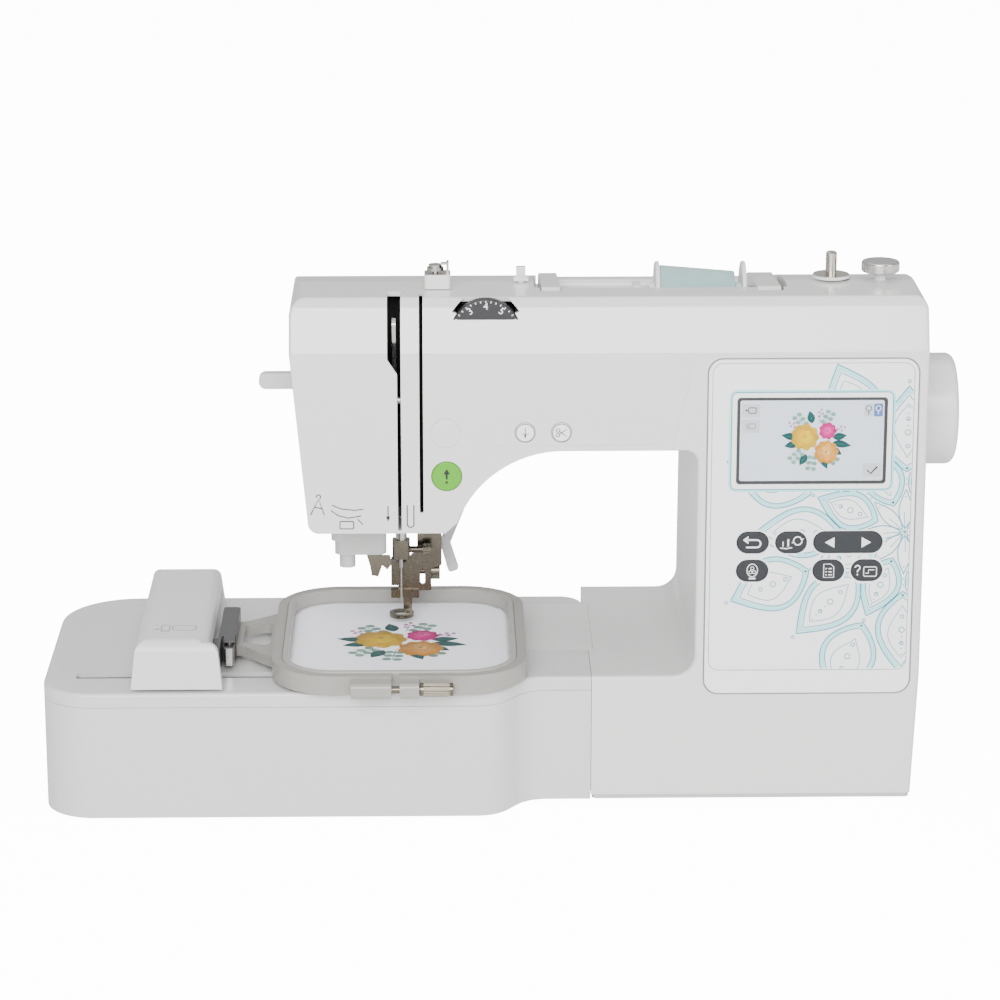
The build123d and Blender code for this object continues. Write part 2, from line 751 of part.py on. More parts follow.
def embroidery_foot():
    plate_y = (needle_y + 6, needle_y + 8.4)
    points = [
        (needle_x + 9, bed_z + 55),
        (needle_x + 23, bed_z + 55),
        (needle_x + 23, bed_z + 36),
        (needle_x + 17, bed_z + 34),
        (needle_x + 17, bed_z + 21),
        (needle_x - 2, bed_z + 21),
        (needle_x - 2, bed_z + 33),
        (needle_x + 3, bed_z + 39),
        (needle_x + 9, bed_z + 46),
    ]
    web = along_y(outline(points, [1.5, 1.5, 1, 1, 1, 1, 2, 2, 1]), plate_y)
    slot = along_y(Pos(needle_x + 12, bed_z + 29) * Rot(0, 0, 90) * SlotOverall(9, 2.6), plate_y)
    socket = block(
        (needle_x - 6, needle_x + 6), (plate_y[0], presser_bar_y + 5), (bed_z + 24, bed_z + 38)
    )
    socket -= rod_z(needle_x, presser_bar_y, presser_bar_r, (bed_z + 20, bed_z + 40))
    bar = block((needle_x - 6, needle_x + 10), (needle_y + 4.5, plate_y[0]), (bed_z + 17, bed_z + 22))
    post = block((needle_x + 1, needle_x + 6), (needle_y + 4.5, needle_y + 6.5), (ring_z[0], bed_z + 18))
    ring = rod_z(needle_x, needle_y, 7.0, ring_z) - rod_z(needle_x, needle_y, 4.6, ring_z)
    join = block((needle_x - 6, needle_x + 10), plate_y, (bed_z + 17, bed_z + 22))
    return web - slot + socket + bar + post + ring + join + foot_screw()


def foot_screw():
    x = (needle_x + 5.9, needle_x + 16)
    stud = rod_x(presser_bar_y, bed_z + 31, 2.0, x)
    return stud + rod_x(presser_bar_y, bed_z + 31, 5.0, (x[1], x[1] + 6))


def presser_lever():
    x, z = lever_pivot
    points = [
        (x - 5, z + 5),
        (x + 5, z + 5),
        (x + 12, z - 26),
        (x + 4, z - 46),
        (x + 9, z - 62),
        (x + 3, z - 64),
        (x - 2, z - 46),
        (x + 5, z - 26),
    ]
    arm = along_y(outline(points, [3, 3, 3, 3, 2, 2, 3, 3]), lever_y)
    return arm - rod_y(x, z, 2.5 + running, lever_y)


def lever_pin():
    x, z = lever_pivot
    return rod_y(x, z, 2.5, (lever_y[0] - 1, frame_y))


def take_up_lever():
    y, z = take_up_pivot
    points = [
        (y - 4, z - 4),
        (y + 5, z - 4),
        (y + 5, z + 5),
        (y - 12, z + 36),
        (y - 22, z + 52),
        (y - 28, z + 50),
        (y - 24, z + 38),
        (y - 10, z + 18),
    ]
    arm = along_x(outline(points, [3, 3, 3, 5, 2, 2, 5, 5]), (take_up_x - 1, take_up_x + 1))
    eye = rod_x(y - 23.5, z + 47.5, 1.3, (take_up_x - 2, take_up_x + 2))
    return arm - rod_x(y, z, 2.5 + running, (take_up_x - 2, take_up_x + 2)) - eye


def take_up_pin():
    y, z = take_up_pivot
    pin = rod_x(y, z, 2.5, (take_up_x - 3, take_up_x + 8))
    stay = block((take_up_x + 8, take_up_x + 12), (y - 4, frame_y), (z - 4, z + 5))
    return pin + stay


def threader_lever():
    tip_x = left_x - 19.4
    tab = block((tip_x, left_x + 8), (threader_y - 3, threader_y + 3), (threader_z - 4.5, threader_z + 4.5))
    tab = fillet(tab.edges().filter_by(Axis.Y).sort_by(Axis.X)[:2], 4)
    rod = rod_z(threader_rod_x, threader_y, 2.5, (head_z - threader_drop + 20, threader_z + 3))
    bridge = block(
        (left_x + 6, threader_rod_x), (threader_y - 2.5, threader_y + 2.5), (threader_z - 3, threader_z + 3)
    )
    return tab + bridge + rod


def threader():
    return threader_lever() + threader_head()


def threader_head():
    left, right = needle_x - 39, needle_x - 8
    low = head_z - threader_drop
    collar = block((left, right), (threader_y - 7, threader_y + 7), (low + 16, low + 24))
    collar = fillet(collar.edges().filter_by(Axis.Z), 6)
    body = block((left + 2, right), (threader_y - 6, threader_y + 6), (low + 8, low + 16))
    body = fillet(body.edges().filter_by(Axis.Z), 5)
    cup = rod_z(left + 9, threader_y, 4.5, (low, low + 8))
    return collar + body + cup + rod_z(right - 6, threader_y, 3.0, (low - 1, low + 8))


def tension_dial():
    wheel = rod_y(dial_x, dial_z, dial_r, dial_y)
    wheel = fillet(wheel.edges().filter_by(GeomType.CIRCLE), 1.0)
    return wheel - rod_y(dial_x, dial_z, 2.5, dial_y)


def dial_spindle():
    """Spindle and pressure discs behind the tension dial, on a stay from the frame."""
    rear = dial_y[1]
    spindle = rod_y(dial_x, dial_z, 2.5 - running, (dial_y[0], rear + 14))
    discs = rod_y(dial_x, dial_z, 10, (rear + 3, rear + 5)) + rod_y(dial_x, dial_z, 10, (rear + 7, rear + 9))
    stay = block((dial_x - 4, dial_x + 4), (rear + 13, rear + 16), (lid_z - 12, dial_z + 4))
    reach = block((dial_x - 4, dial_x + 4), (rear + 13, frame_y), (lid_z - 12, lid_z - 8))
    return spindle + discs + stay + reach


def pretension_guide():
    x0 = needle_x + 14.2
    y0 = rim_y + 4.0
    base = block((x0, x0 + 14.2), (y0, y0 + 12), (top_z, top_z + 8))
    base = fillet(base.edges().filter_by(Axis.Z), 2)
    disc = rod_z(x0 + 6, y0 + 6, 4.6, (top_z + 9.5, top_z + 11))
    disc += rod_z(x0 + 6, y0 + 6, 3.6, (top_z + 11, top_z + 12.6))
    disc += rod_z(x0 + 6, y0 + 6, 1.6, (top_z + 8, top_z + 9.5))
    hook = block((x0 + 12, x0 + 13.4), (y0 + 2, y0 + 10), (top_z + 8, top_z + 14))
    return base + disc + hook + block((x0 + 9, x0 + 13.4), (y0 + 2, y0 + 4), (top_z + 13, top_z + 14.4))


def thread_guides():
    return Compound([pretension_guide(), rear_thread_guide()])


def rear_thread_guide():
    stud = rod_z(rear_guide_x, rear_guide_y, 1.8, (top_z - 8, top_z + 4))
    plate = block(
        (rear_guide_x - 4, rear_guide_x + 4), (rear_guide_y - 3, rear_guide_y + 3), (top_z + 0.2, top_z + 2.2)
    )
    post = block(
        (rear_guide_x - 2.6, rear_guide_x + 2.6), (rear_guide_y - 1, rear_guide_y + 1), (top_z + 2, top_z + 8)
    )
    return stud + plate + post


# ---------------------------------------------------------------- controls
def push_button(x, z, radius, length):
    cap = rod_y(x, z, radius, (front_y + 0.3, front_y + wall + 2.5))
    cap = fillet(cap.edges().filter_by(GeomType.CIRCLE).sort_by(Axis.Y)[0], 0.7)
    flange = rod_y(x, z, radius + 1.2, (front_y + wall + 1.5, front_y + wall + 2.5))
    return cap + flange + rod_y(x, z, 2.0, (front_y + wall + 2.5, front_y + wall + length))


def control_panel():
    shape = rounded(panel_x + 0.3, panel_z + 0.3, panel_width - 0.6, panel_height - 0.6, panel_corner)
    plate = along_y(shape, (front_y - 0.6, front_y + bezel_depth))
    plate = round_edges(plate, Axis.Y, front_y - 0.61, front_y - 0.59, 0.5)
    plate -= along_y(overlay_shape(), (front_y - 2, front_y - 0.3))
    plate -= along_y(rounded(screen_x, screen_z, screen_width, screen_height, 2), (front_y - 2, front_y + 3))
    for x, z, width in key_places().values():
        opening = pill(x, z, width + 2 * cap_play, key_height + 2 * cap_play)
        plate -= along_y(opening, (front_y - 2, front_y + 3))
    return plate


def overlay_shape():
    return rounded(
        panel_x + overlay_margin,
        panel_z + overlay_foot,
        panel_width - 2 * overlay_margin,
        panel_height - overlay_foot - overlay_margin,
        panel_corner - overlay_margin,
    )


def key_places():
    """Centre and width of each key on the panel."""
    high, low = key_row_z
    return {
        "key_back": (pillar_x + 30.6, high, 17.1),
        "key_foot": (pillar_x + 51.5, high, 16.8),
        "key_arrows": (pillar_x + 82.5, high, 37.4),
        "key_machine": (pillar_x + 30.6, low, 17.1),
        "key_list": (pillar_x + 72.2, low, 16.8),
        "key_help": (pillar_x + 93.1, low, 16.8),
    }


def display_module():
    shape = rounded(screen_x + 0.2, screen_z + 0.2, screen_width - 0.4, screen_height - 0.4, 1.8)
    return Compound([along_y(shape, (front_y + 0.4, front_y + bezel_depth + 2)), control_board()])


def panel_key(x, z, width):
    cap = along_y(pill(x, z, width, key_height), (front_y - key_proud, front_y + bezel_depth + 1))
    cap = round_edges(cap, Axis.Y, front_y - key_proud - 0.01, front_y - key_proud + 0.01, 0.5)
    return cap


def rocker_rib():
    """Round rib behind the long key, on which it rocks."""
    x, z, _ = key_places()["key_arrows"]
    return rod_z(x, front_y + bezel_depth + 1, 1.5, (z - 5, z + 5))


def control_board():
    x = (panel_x + 8, panel_x + panel_width - 8)
    y = (front_y + 9.5, front_y + 11)
    board = block(x, y, (panel_z + 22, panel_z + panel_height - 14))
    chips = [
        block((x[0] + 12 + 26 * n, x[0] + 26 + 26 * n), (y[1], y[1] + 2.4), (screen_z - 8, screen_z + 8))
        for n in range(3)
    ]
    return board + chips


def power_inlet():
    body = block(
        (right_x - 14, right_x - 1.6), (inlet_y - 10.8, inlet_y + 10.8), (inlet_z - 7.8, inlet_z + 7.8)
    )
    body -= block((right_x - 11, right_x), (inlet_y - 8.5, inlet_y + 8.5), (inlet_z - 5.5, inlet_z + 5.5))
    pins = [rod_x(inlet_y + y, inlet_z, 1.2, (right_x - 11, right_x - 3)) for y in (-4, 4)]
    cage = block(
        (right_x - 14, right_x - wall - 2.2), (inlet_y - 10.8, inlet_y + 10.8), (inlet_z + 7.8, switch_z + 13)
    )
    cage -= block((right_x - 12, right_x), (inlet_y - 8, inlet_y + 8), (switch_z - 12, switch_z + 12))
    return body + pins + cage + rod_y(right_x - 5.5, switch_z, 2.0, (inlet_y - 9, inlet_y + 9))


def power_switch():
    shape = make_face(
        Polyline(
            (right_x - 8, switch_z - 10.5),
            (right_x + 1.5, switch_z - 10.5),
            (right_x + 0.2, switch_z),
            (right_x + 1.5, switch_z + 10.5),
            (right_x - 8, switch_z + 10.5),
            close=True,
        )
    )
    return along_y(shape, (inlet_y - 7.5, inlet_y + 7.5)) - rod_y(
        right_x - 5.5, switch_z, 2.0 + running, (inlet_y - 8, inlet_y + 8)
    )


# ---------------------------------------------------------------- top parts


def spool_holder():
    return Compound([spool_pin(), spool_cap(spool_end_x[0], -4), spool_cap(spool_end_x[1], -4)])


def spool_pin():
    pin = rod_x(spool_y, spool_z, spool_pin_r, (handle_arm_x[0][1] + 45, spool_end_x[1] + 3.5))
    foot = block(
        (handle_arm_x[0][1] + 41, handle_arm_x[0][1] + 45.5),
        (spool_y - 6, spool_y + 6),
        (tray_floor_z, spool_z + 5),
    )
    return pin + foot


def spool_cap(x, lean):
    cap = rod_x(spool_y, spool_z, spool_cap_r, (x - 1.2, x + 1.2))
    cap = fillet(cap.edges().filter_by(GeomType.CIRCLE), 0.8)
    hub = rod_x(spool_y, spool_z, 5.0, (min(x, x + lean), max(x, x + lean)))
    return cap + hub - rod_x(spool_y, spool_z, spool_pin_r, (x - 20, x + 20))


def thread_spool():
    x0, x1 = spool_end_x[0] + 1.4, spool_end_x[1] - 4.8
    cone = Pos((x0 + x1) / 2, spool_y, spool_z) * Rot(0, 90, 0) * Cone(14.6, 11.2, x1 - x0)
    return cone - rod_x(spool_y, spool_z, spool_pin_r + running, (x0 - 1, x1 + 1))


def carry_handle():
    parts = None
    for x in handle_arm_x:
        side = [
            (handle_pivot_y - 5, handle_pivot_z - 5),
            (handle_pivot_y - 5, handle_pivot_z + 6.0),
            (tray_y[1] + 2, top_z - 6.0),
            (handle_grip_y + 4, lid_z + 10.5),
            (handle_grip_y + 4, lid_z + 2.4),
            (tray_y[1] - 6, lid_z + 2.4),
        ]
        arm = along_x(outline(side, [3, 4, 20, 3, 3, 20]), x)
        arm -= rod_x(handle_pivot_y, handle_pivot_z, 2.5 + running, (x[0] - 1, x[1] + 1))
        parts = arm if parts is None else parts + arm
    low, high = handle_arm_x[0][0], handle_arm_x[1][1]
    bar = block((low, high), (handle_grip_y - 9, handle_grip_y + 4), (lid_z + 2.4, lid_z + 10.4))
    bar = fillet(bar.edges().filter_by(Axis.X), 3.5)
    return parts + bar


def handle_pins():
    inner = (tray_x[0] - 4, handle_arm_x[0][1] + 3)
    outer = (handle_arm_x[1][0] - 3, tray_x[1] + 4)
    return [rod_x(handle_pivot_y, handle_pivot_z, 2.5, x) for x in (inner, outer)]


def winder_carrier():
    base = rod_z(winder_x, winder_y, 5.0, (top_z - 14, top_z - 0.8))
    seat = rod_z(winder_x, winder_y, 14, (top_z - 15, top_z - 11))
    return base + seat - rod_z(winder_x, winder_y, 1.6 + running, (top_z - 20, top_z + 2))


def winder_shaft():
    shaft = rod_z(winder_x, winder_y, winder_r, (top_z + 1.5, top_z + 14.8))
    shaft = chamfer(shaft.edges().filter_by(GeomType.CIRCLE).sort_by(Axis.Z)[-1], 0.8)
    seat = rod_z(winder_x, winder_y, 10.0, (top_z + 0.4, top_z + 2.2))
    stem = rod_z(winder_x, winder_y, 1.6, (top_z - 14, top_z + 1.5))
    return shaft + seat + stem


def winder_stop():
    post = rod_z(winder_stop_x, winder_y, 3.3, (top_z - 9, top_z + 3.4))
    disc = rod_z(winder_stop_x, winder_y, 10.4, (top_z + 3.4, top_z + 9.4))
    return post + fillet(disc.edges().filter_by(GeomType.CIRCLE), 1.0)


# ---------------------------------------------------------------- embroidery unit
def unit_plan(inset):
    """The unit's outline from above, with an S-shaped step in its front."""
    step0, step1 = unit_step_x
    points = [
        (seam_x - sliding, front_y),
        (step1 - 8, front_y),
        (step0 + 8, unit_front_y),
        (unit_left_x, unit_front_y),
        (unit_left_x, unit_rear_y),
        (seam_x - sliding, unit_rear_y),
    ]
    plan = outline(points, [0, 20, 20, 28, 42, 14])
    if inset:
        plan = offset(plan, amount=-inset, kind=Kind.INTERSECTION)
    return plan


def unit_channel(play):
    """Room for the free arm, open to the right and upwards."""
    return block(
        (free_arm_left_x - play, seam_x + 5),
        (free_arm_y[0] - play, free_arm_y[1] + play),
        (free_arm_z - play, unit_top_z + 5),
    )


def unit_form(inset):
    return along_z(unit_plan(inset), (table_gap + inset, unit_top_z - inset))


def unit_cut_z():
    return unit_top_z - unit_lip


def unit_slot():
    """Slot in the unit's top along which the carriage's foot runs."""
    reach = carriage_slot_width / 2 + sliding + 1
    low = carriage_mid_x - x_travel - 7
    high = carriage_mid_x + x_travel + 7
    slot_y = (carriage_slot_y - reach, carriage_slot_y + reach)
    return block((low, high), slot_y, (unit_cut_z(), unit_top_z + 1))


def unit_shell():
    skin = unit_form(0) - unit_form(wall)
    lining = unit_channel(sliding + wall) & unit_form(0)
    return skin + lining - unit_channel(sliding)


whole_unit = unit_shell()


def unit_lower_case():
    part = whole_unit & block((-400, 400), (-200, 200), (0, unit_cut_z()))
    return part + unit_rail()


def unit_top_cover():
    part = whole_unit & block((-400, 400), (-200, 200), (unit_cut_z() + 0.25, unit_top_z + 1))
    rim = part.edges().filter_by_position(Axis.Z, unit_top_z - 0.01, unit_top_z + 0.01)
    rim = [e for e in rim if e.center().Y < unit_front_y + 20 or e.center().X < unit_left_x + 40]
    rim = [e for e in rim if e.center().X < seam_x - 2]
    return fillet(rim, 2.0) - unit_slot()


def unit_rail():
    x = (carriage_mid_x - x_travel - 19, carriage_mid_x + x_travel + 19)
    rail = rod_x(carriage_slot_y + 12, rail_z, 4.0, x)
    ends = [
        block((end - 3, end + 3), (carriage_slot_y + 6, carriage_slot_y + 18), (table_gap + wall, rail_z + 6))
        for end in x
    ]
    return rail + ends


# ---------------------------------------------------------------- carriage and hoop
def carriage_chassis():
    mid = carriage_mid_x
    half = carriage_slot_width / 2
    foot_y = (carriage_slot_y - half, carriage_slot_y + half)
    foot = block((mid - 6, mid + 6), foot_y, (rail_z - 7, carriage_z[0] + 2))
    rider = block((mid - 14, mid + 14), (foot_y[0], carriage_slot_y + 20), (rail_z - 7, rail_z + 7))
    rider -= rod_x(carriage_slot_y + 12, rail_z, 4.0 + running, (mid - 15, mid + 15))
    deck = block(
        (carriage_x[0] + 4, carriage_x[1] - 9.5),
        (carriage_y[0] + 4, carriage_y[1] - 4),
        (carriage_z[0], carriage_z[0] + 2),
    )
    return foot + rider + deck + carriage_rail()


def carriage_cover():
    x, y, z = carriage_x, carriage_y, carriage_z
    lean = 3.0
    section = [
        (x[0], z[0]),
        (x[0] + lean, z[1]),
        (x[1] - 6 - lean, z[1]),
        (x[1] - 6, z[0]),
    ]
    form = along_y(outline(section, [0, 7, 7, 0]), y)
    ends = along_x(
        outline(
            [(y[0], z[0]), (y[0] + 2, z[1]), (y[1] - 4, z[1]), (y[1], z[0])],
            [0, 7, 9, 0],
        ),
        (x[0] - 1, x[1] + 1),
    )
    nose = (y[0], slide_y - slide_half - forward_travel - 1)
    wide = [(x[1] - 14, z[0]), (x[1] - 14, z[1] - 1.5), (x[1] - lean, z[1] - 1.5), (x[1] - 0.5, z[0])]
    form = (form + along_y(outline(wide, [0, 0, 6, 0]), nose)) & ends
    inner = block((x[0] + 3.5, x[1] - 9.5), (y[0] + 3.5, y[1] - 4), (z[0] - 1, z[1] - 8))
    slot_z = (carriage_z[0] + 5, carriage_z[0] + 14)
    return form - inner - block((x[1] - 13, x[1] + 1), holder_slot_y(), slot_z)


def holder_slot_y():
    """Slot in the carriage's right side, as long as the holder's slide and its travel."""
    front = slide_y - slide_half - forward_travel
    return (front - 1, slide_y + slide_half + rearward_travel + 1)


def carriage_rail():
    x = carriage_x[0] + 22
    ends = (carriage_y[0] + 4, carriage_y[1] - 4)
    rail = rod_y(x, carriage_z[0] + 9, 2.5, ends)
    for y in (ends[0] + 1.5, ends[1] - 1.5):
        rail += block((x - 4, x + 4), (y - 1.5, y + 1.5), (carriage_z[0] + 1, carriage_z[0] + 13))
    return rail


def hoop_holder():
    middle = (carriage_y[0] + carriage_y[1]) / 2
    x = carriage_x[1]
    y = (slide_y - slide_half, slide_y + slide_half)
    slide_z = (carriage_z[0] + 6, carriage_z[0] + 13)
    slide = block((x - 34, x - 11), y, slide_z)
    slide -= rod_y(carriage_x[0] + 22, carriage_z[0] + 9, 2.5 + running, (y[0] - 1, y[1] + 1))
    neck = block((x - 12, x - 4), y, slide_z)
    clamp = block((x - 4.5, x + 5), (middle - 26, middle + 26), (carriage_z[0] + 1, carriage_z[0] + 15))
    clamp = fillet(clamp.edges().filter_by(Axis.Z), 2)
    clamp += block((x - 4.5, x - 3.0), (y[0], middle - 20), (carriage_z[0] + 1, carriage_z[0] + 15))
    pocket = block(
        (x - 1 - 0.2, x + 6), (middle - 21.2, middle + 21.2), (hoop_z + 1.8, hoop_z + 8.2)
    )
    return slide + neck + clamp - pocket + lock_pin()


def ring_plan(grow):
    return RectangleRounded(
        window_width + 2 * grow, window_depth + 2 * grow, window_corner + grow
    )


def hoop_ring(low_grow, high_grow, z):
    plan = Pos(hoop_x, hoop_y) * (ring_plan(high_grow) - ring_plan(low_grow))
    return along_z(plan, z)


def hoop_inner_ring():
    z = (hoop_z, hoop_z + hoop_height + 0.8)
    ring = hoop_ring(0, inner_ring_wall, z)
    top = ring.edges().filter_by_position(Axis.Z, z[1] - 0.01, z[1] + 0.01)
    return fillet(top, 1.0)


def bracket_reach():
    return carriage_x[1] - 1


def hoop_outer_ring():
    z = (hoop_z, hoop_z + hoop_height)
    low = inner_ring_wall + ring_seam
    high = low + outer_ring_wall
    ring = hoop_ring(low, high, z)
    left_side = hoop_x - window_width / 2 - low
    middle = (carriage_y[0] + carriage_y[1]) / 2
    bracket = outline(
        [
            (bracket_reach(), middle - 21),
            (bracket_reach() + 9, middle - 21),
            (left_side - 2, middle - 46),
            (left_side - 2, middle + 38),
            (bracket_reach() + 9, middle + 21),
            (bracket_reach(), middle + 21),
        ],
        [2, 8, 2, 2, 8, 2],
    )
    opening = outline(
        [
            (bracket_reach() + 9, middle - 15),
            (left_side - outer_ring_wall - 2, middle - 22),
            (left_side - outer_ring_wall - 2, middle + 20),
            (bracket_reach() + 9, middle + 15),
        ],
        [4, 4, 4, 4],
    )
    arm = along_z(bracket - opening, (hoop_z + 2, hoop_z + 8))
    arm -= along_z(Pos(hoop_x, hoop_y) * ring_plan(low), (hoop_z - 1, hoop_z + 20))
    front = hoop_front_y()
    lugs = None
    for x in lug_places():
        lug = block(x, (front - lug_depth, front + 1), (hoop_z, hoop_z + 9))
        lug = fillet(lug.edges().filter_by(Axis.X).sort_by(Axis.Y)[:2], 3)
        lug -= rod_x(front - lug_depth / 2, hoop_z + 4.5, screw_r + running, x)
        lugs = lug if lugs is None else lugs + lug
    body = ring + arm + lugs
    split_x = (lug_places()[0][1], lug_places()[1][0])
    return body - block(split_x, (front - 15, front + outer_ring_wall + 1), (hoop_z - 1, hoop_z + 20))


def hoop_front_y():
    """Front of the outer ring, behind the clamp's lugs."""
    return hoop_y - window_depth / 2 - inner_ring_wall - ring_seam - outer_ring_wall


def lug_places():
    return [(hoop_x - 25.8, hoop_x - 4), (hoop_x + 0.5, hoop_x + 11)]


def hoop_screw():
    y = hoop_front_y() - lug_depth / 2
    z = hoop_z + 4.5
    first, second = lug_places()
    shank = rod_x(y, z, screw_r, (first[0] + 3, second[1]))
    barrel = rod_x(y, z, 3.6, (second[1] + 0.3, second[1] + 18.5))
    barrel = fillet(barrel.edges().filter_by(GeomType.CIRCLE), 0.5)
    return barrel + rod_x(y, z, screw_r, (second[1] - 1, second[1] + 1)) + shank


def hoop_fabric():
    z0 = hoop_z + fabric_rise
    plan = Pos(hoop_x, hoop_y) * ring_plan(-0.02)
    return along_z(plan, (z0, z0 + fabric_thick)) - rod_z(needle_x, needle_y, needle_hole_r, (z0 - 1, z0 + 2))


def lock_place():
    middle = (carriage_y[0] + carriage_y[1]) / 2
    return carriage_x[1] + 1.5, middle - 30


def hoop_lock_lever():
    x, y = lock_place()
    z = (carriage_z[0] + 2, carriage_z[0] + 12)
    arm = block((x - 2.6, x + 2.6), (y - 9, y + 2.2), z)
    arm = fillet(arm.edges().filter_by(Axis.Z), 1.2)
    return arm - rod_z(x, y, 1.5 + running, (z[0] - 1, z[1] + 1))


def lock_pin():
    x, y = lock_place()
    z = (carriage_z[0] + 1, carriage_z[0] + 13.6)
    pin = rod_z(x, y, 1.5, z)
    head = block((x - 3, x + 3), (y - 3, y + 6), (z[1], z[1] + 1.4))
    return pin + head


def case_screws():
    return [
        rod_z(x, y, 3.4, (table_gap - 1.2, table_gap)) + rod_z(x, y, 1.4, (table_gap, table_gap + 2))
        for x, y in screw_places()
    ]


def write_parts():
    os.makedirs("parts", exist_ok=True)
    pieces = {
        "front_cover": front_cover(),
        "rear_cover": rear_cover(),
        "top_cover": top_cover(),
        "base_tray": base_tray(),
        "rubber_feet": Compound(rubber_feet()),
        "case_screws": Compound(case_screws()),
        "arm_frame": arm_frame(),
        "pivot_pins": Compound([lever_pin(), take_up_pin(), *handle_pins(), dial_spindle()]),
        "upper_shaft": upper_shaft(),
        "shaft_pulleys": Compound(
            [
                pulley(shaft_y, shaft_z, timing_pulley_r, shaft_r, belt_span(belt_x)),
                pulley(shaft_y, shaft_z, drive_pulley_r, shaft_r, belt_span(motor_belt_x)),
            ]
        ),
        "drive_belts": Compound([timing_belt(), motor_belt()]),
        "handwheel": handwheel(),
        "main_motor": main_motor(),
        "motor_pulley": motor_pulley(),
        "lower_shaft": lower_shaft(),
        "rotary_hook": rotary_hook(),
        "bobbin_case": bobbin_case(),
        "bobbin": bobbin(),
        "free_arm": free_arm(),
        "needle_plate": needle_plate(),
        "needle_bar": needle_bar(),
        "needle_clamp": needle_clamp(),
        "needle": needle(),
        "presser_bar": presser_bar(),
        "embroidery_foot": embroidery_foot(),
        "presser_lever": presser_lever(),
        "take_up_lever": take_up_lever(),
        "threader_lever": threader(),
        "tension_dial": tension_dial(),
        "thread_guides": thread_guides(),
        "start_button": push_button(start_button_x, start_button_z, start_button_r, 8),
        "needle_position_button": push_button(position_button_x, strip_z, small_button_r, 8),
        "thread_cutter_button": push_button(cutter_button_x, strip_z, small_button_r, 8),
        "control_panel": control_panel(),
        "display_module": display_module(),
        "power_inlet": power_inlet(),
        "power_switch": power_switch(),
        "spool_holder": spool_holder(),
        "thread_spool": thread_spool(),
        "carry_handle": carry_handle(),
        "winder_carrier": winder_carrier(),
        "winder_shaft": winder_shaft(),
        "winder_stop": winder_stop(),
        "unit_lower_case": unit_lower_case(),
        "unit_top_cover": unit_top_cover(),
        "unit_feet": Compound(unit_feet()),
        "carriage_cover": carriage_cover(),
        "carriage_chassis": carriage_chassis(),
        "hoop_holder": hoop_holder(),
        "hoop_lock_lever": hoop_lock_lever(),
        "hoop_outer_ring": hoop_outer_ring(),
        "hoop_inner_ring": hoop_inner_ring(),
        "hoop_screw": hoop_screw(),
        "hoop_fabric": hoop_fabric(),
    }
    pieces.update({name: panel_key(*place) for name, place in key_places().items()})
    pieces["key_arrows"] += rocker_rib()
    for name, piece in pieces.items():
        save(name, piece)


write_parts()
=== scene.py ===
import itertools
import math
import random

import bmesh
import bpy
from mathutils import Matrix, Vector


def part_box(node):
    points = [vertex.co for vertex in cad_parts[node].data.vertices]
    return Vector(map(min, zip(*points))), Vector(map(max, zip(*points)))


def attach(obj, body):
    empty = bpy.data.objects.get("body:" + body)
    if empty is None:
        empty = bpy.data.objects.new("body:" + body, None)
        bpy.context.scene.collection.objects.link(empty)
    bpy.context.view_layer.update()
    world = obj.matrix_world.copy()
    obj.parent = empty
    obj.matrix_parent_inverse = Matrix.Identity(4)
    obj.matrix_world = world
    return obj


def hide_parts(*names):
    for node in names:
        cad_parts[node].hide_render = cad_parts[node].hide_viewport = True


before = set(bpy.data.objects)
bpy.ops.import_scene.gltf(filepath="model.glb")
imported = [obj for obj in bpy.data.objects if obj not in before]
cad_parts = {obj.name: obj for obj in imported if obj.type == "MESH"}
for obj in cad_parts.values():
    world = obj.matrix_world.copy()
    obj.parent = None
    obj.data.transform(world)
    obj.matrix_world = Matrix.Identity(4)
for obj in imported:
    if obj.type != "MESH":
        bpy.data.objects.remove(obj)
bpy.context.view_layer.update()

MM = 0.001
TURN = 2 * math.pi


def centre(node):
    low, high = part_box(node)
    return (low + high) / 2


# ---------------------------------------------------------------- places from the frame
panel_low, panel_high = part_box("control_panel")
front = panel_low.y + 0.6 * MM  # front face of the casing
overlay_y = panel_low.y + 0.3 * MM  # printed face inside the panel's rim
panel_mid = (panel_low + panel_high) / 2
needle = centre("needle")
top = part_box("top_cover")[1].z
head_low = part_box("case_screws")[1].z + 151.9 * MM
screen = Vector((panel_low.x + 56.15 * MM, overlay_y, panel_low.z + 143.9 * MM))
screen_size = (81.3, 48.6)
fabric_low, fabric_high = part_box("hoop_fabric")
fabric_mid = (fabric_low + fabric_high) / 2


# ---------------------------------------------------------------- shader groups
def shader_group(name, inputs, outputs):
    tree = bpy.data.node_groups.new(name, "ShaderNodeTree")
    for label, kind, value in inputs:
        socket = tree.interface.new_socket(name=label, in_out="INPUT", socket_type="NodeSocket" + kind)
        socket.default_value = value
    for label, kind in outputs:
        tree.interface.new_socket(name=label, in_out="OUTPUT", socket_type="NodeSocket" + kind)
    return tree, tree.nodes.new("NodeGroupInput"), tree.nodes.new("NodeGroupOutput")


def add(tree, kind, inputs=None, **settings):
    made = tree.nodes.new(kind)
    for key, value in settings.items():
        setattr(made, key, value)
    for key, value in (inputs or {}).items():
        if isinstance(value, bpy.types.NodeSocket):
            tree.links.new(value, made.inputs[key])
        else:
            made.inputs[key].default_value = value
    return made


def sum_of(tree, base, noise, spread):
    """base + (noise - 0.5) * spread"""
    centred = add(tree, "ShaderNodeMath", {0: noise, 1: 0.5}, operation="SUBTRACT").outputs[0]
    return add(tree, "ShaderNodeMath", {0: centred, 1: spread, 2: base}, operation="MULTIPLY_ADD").outputs[0]


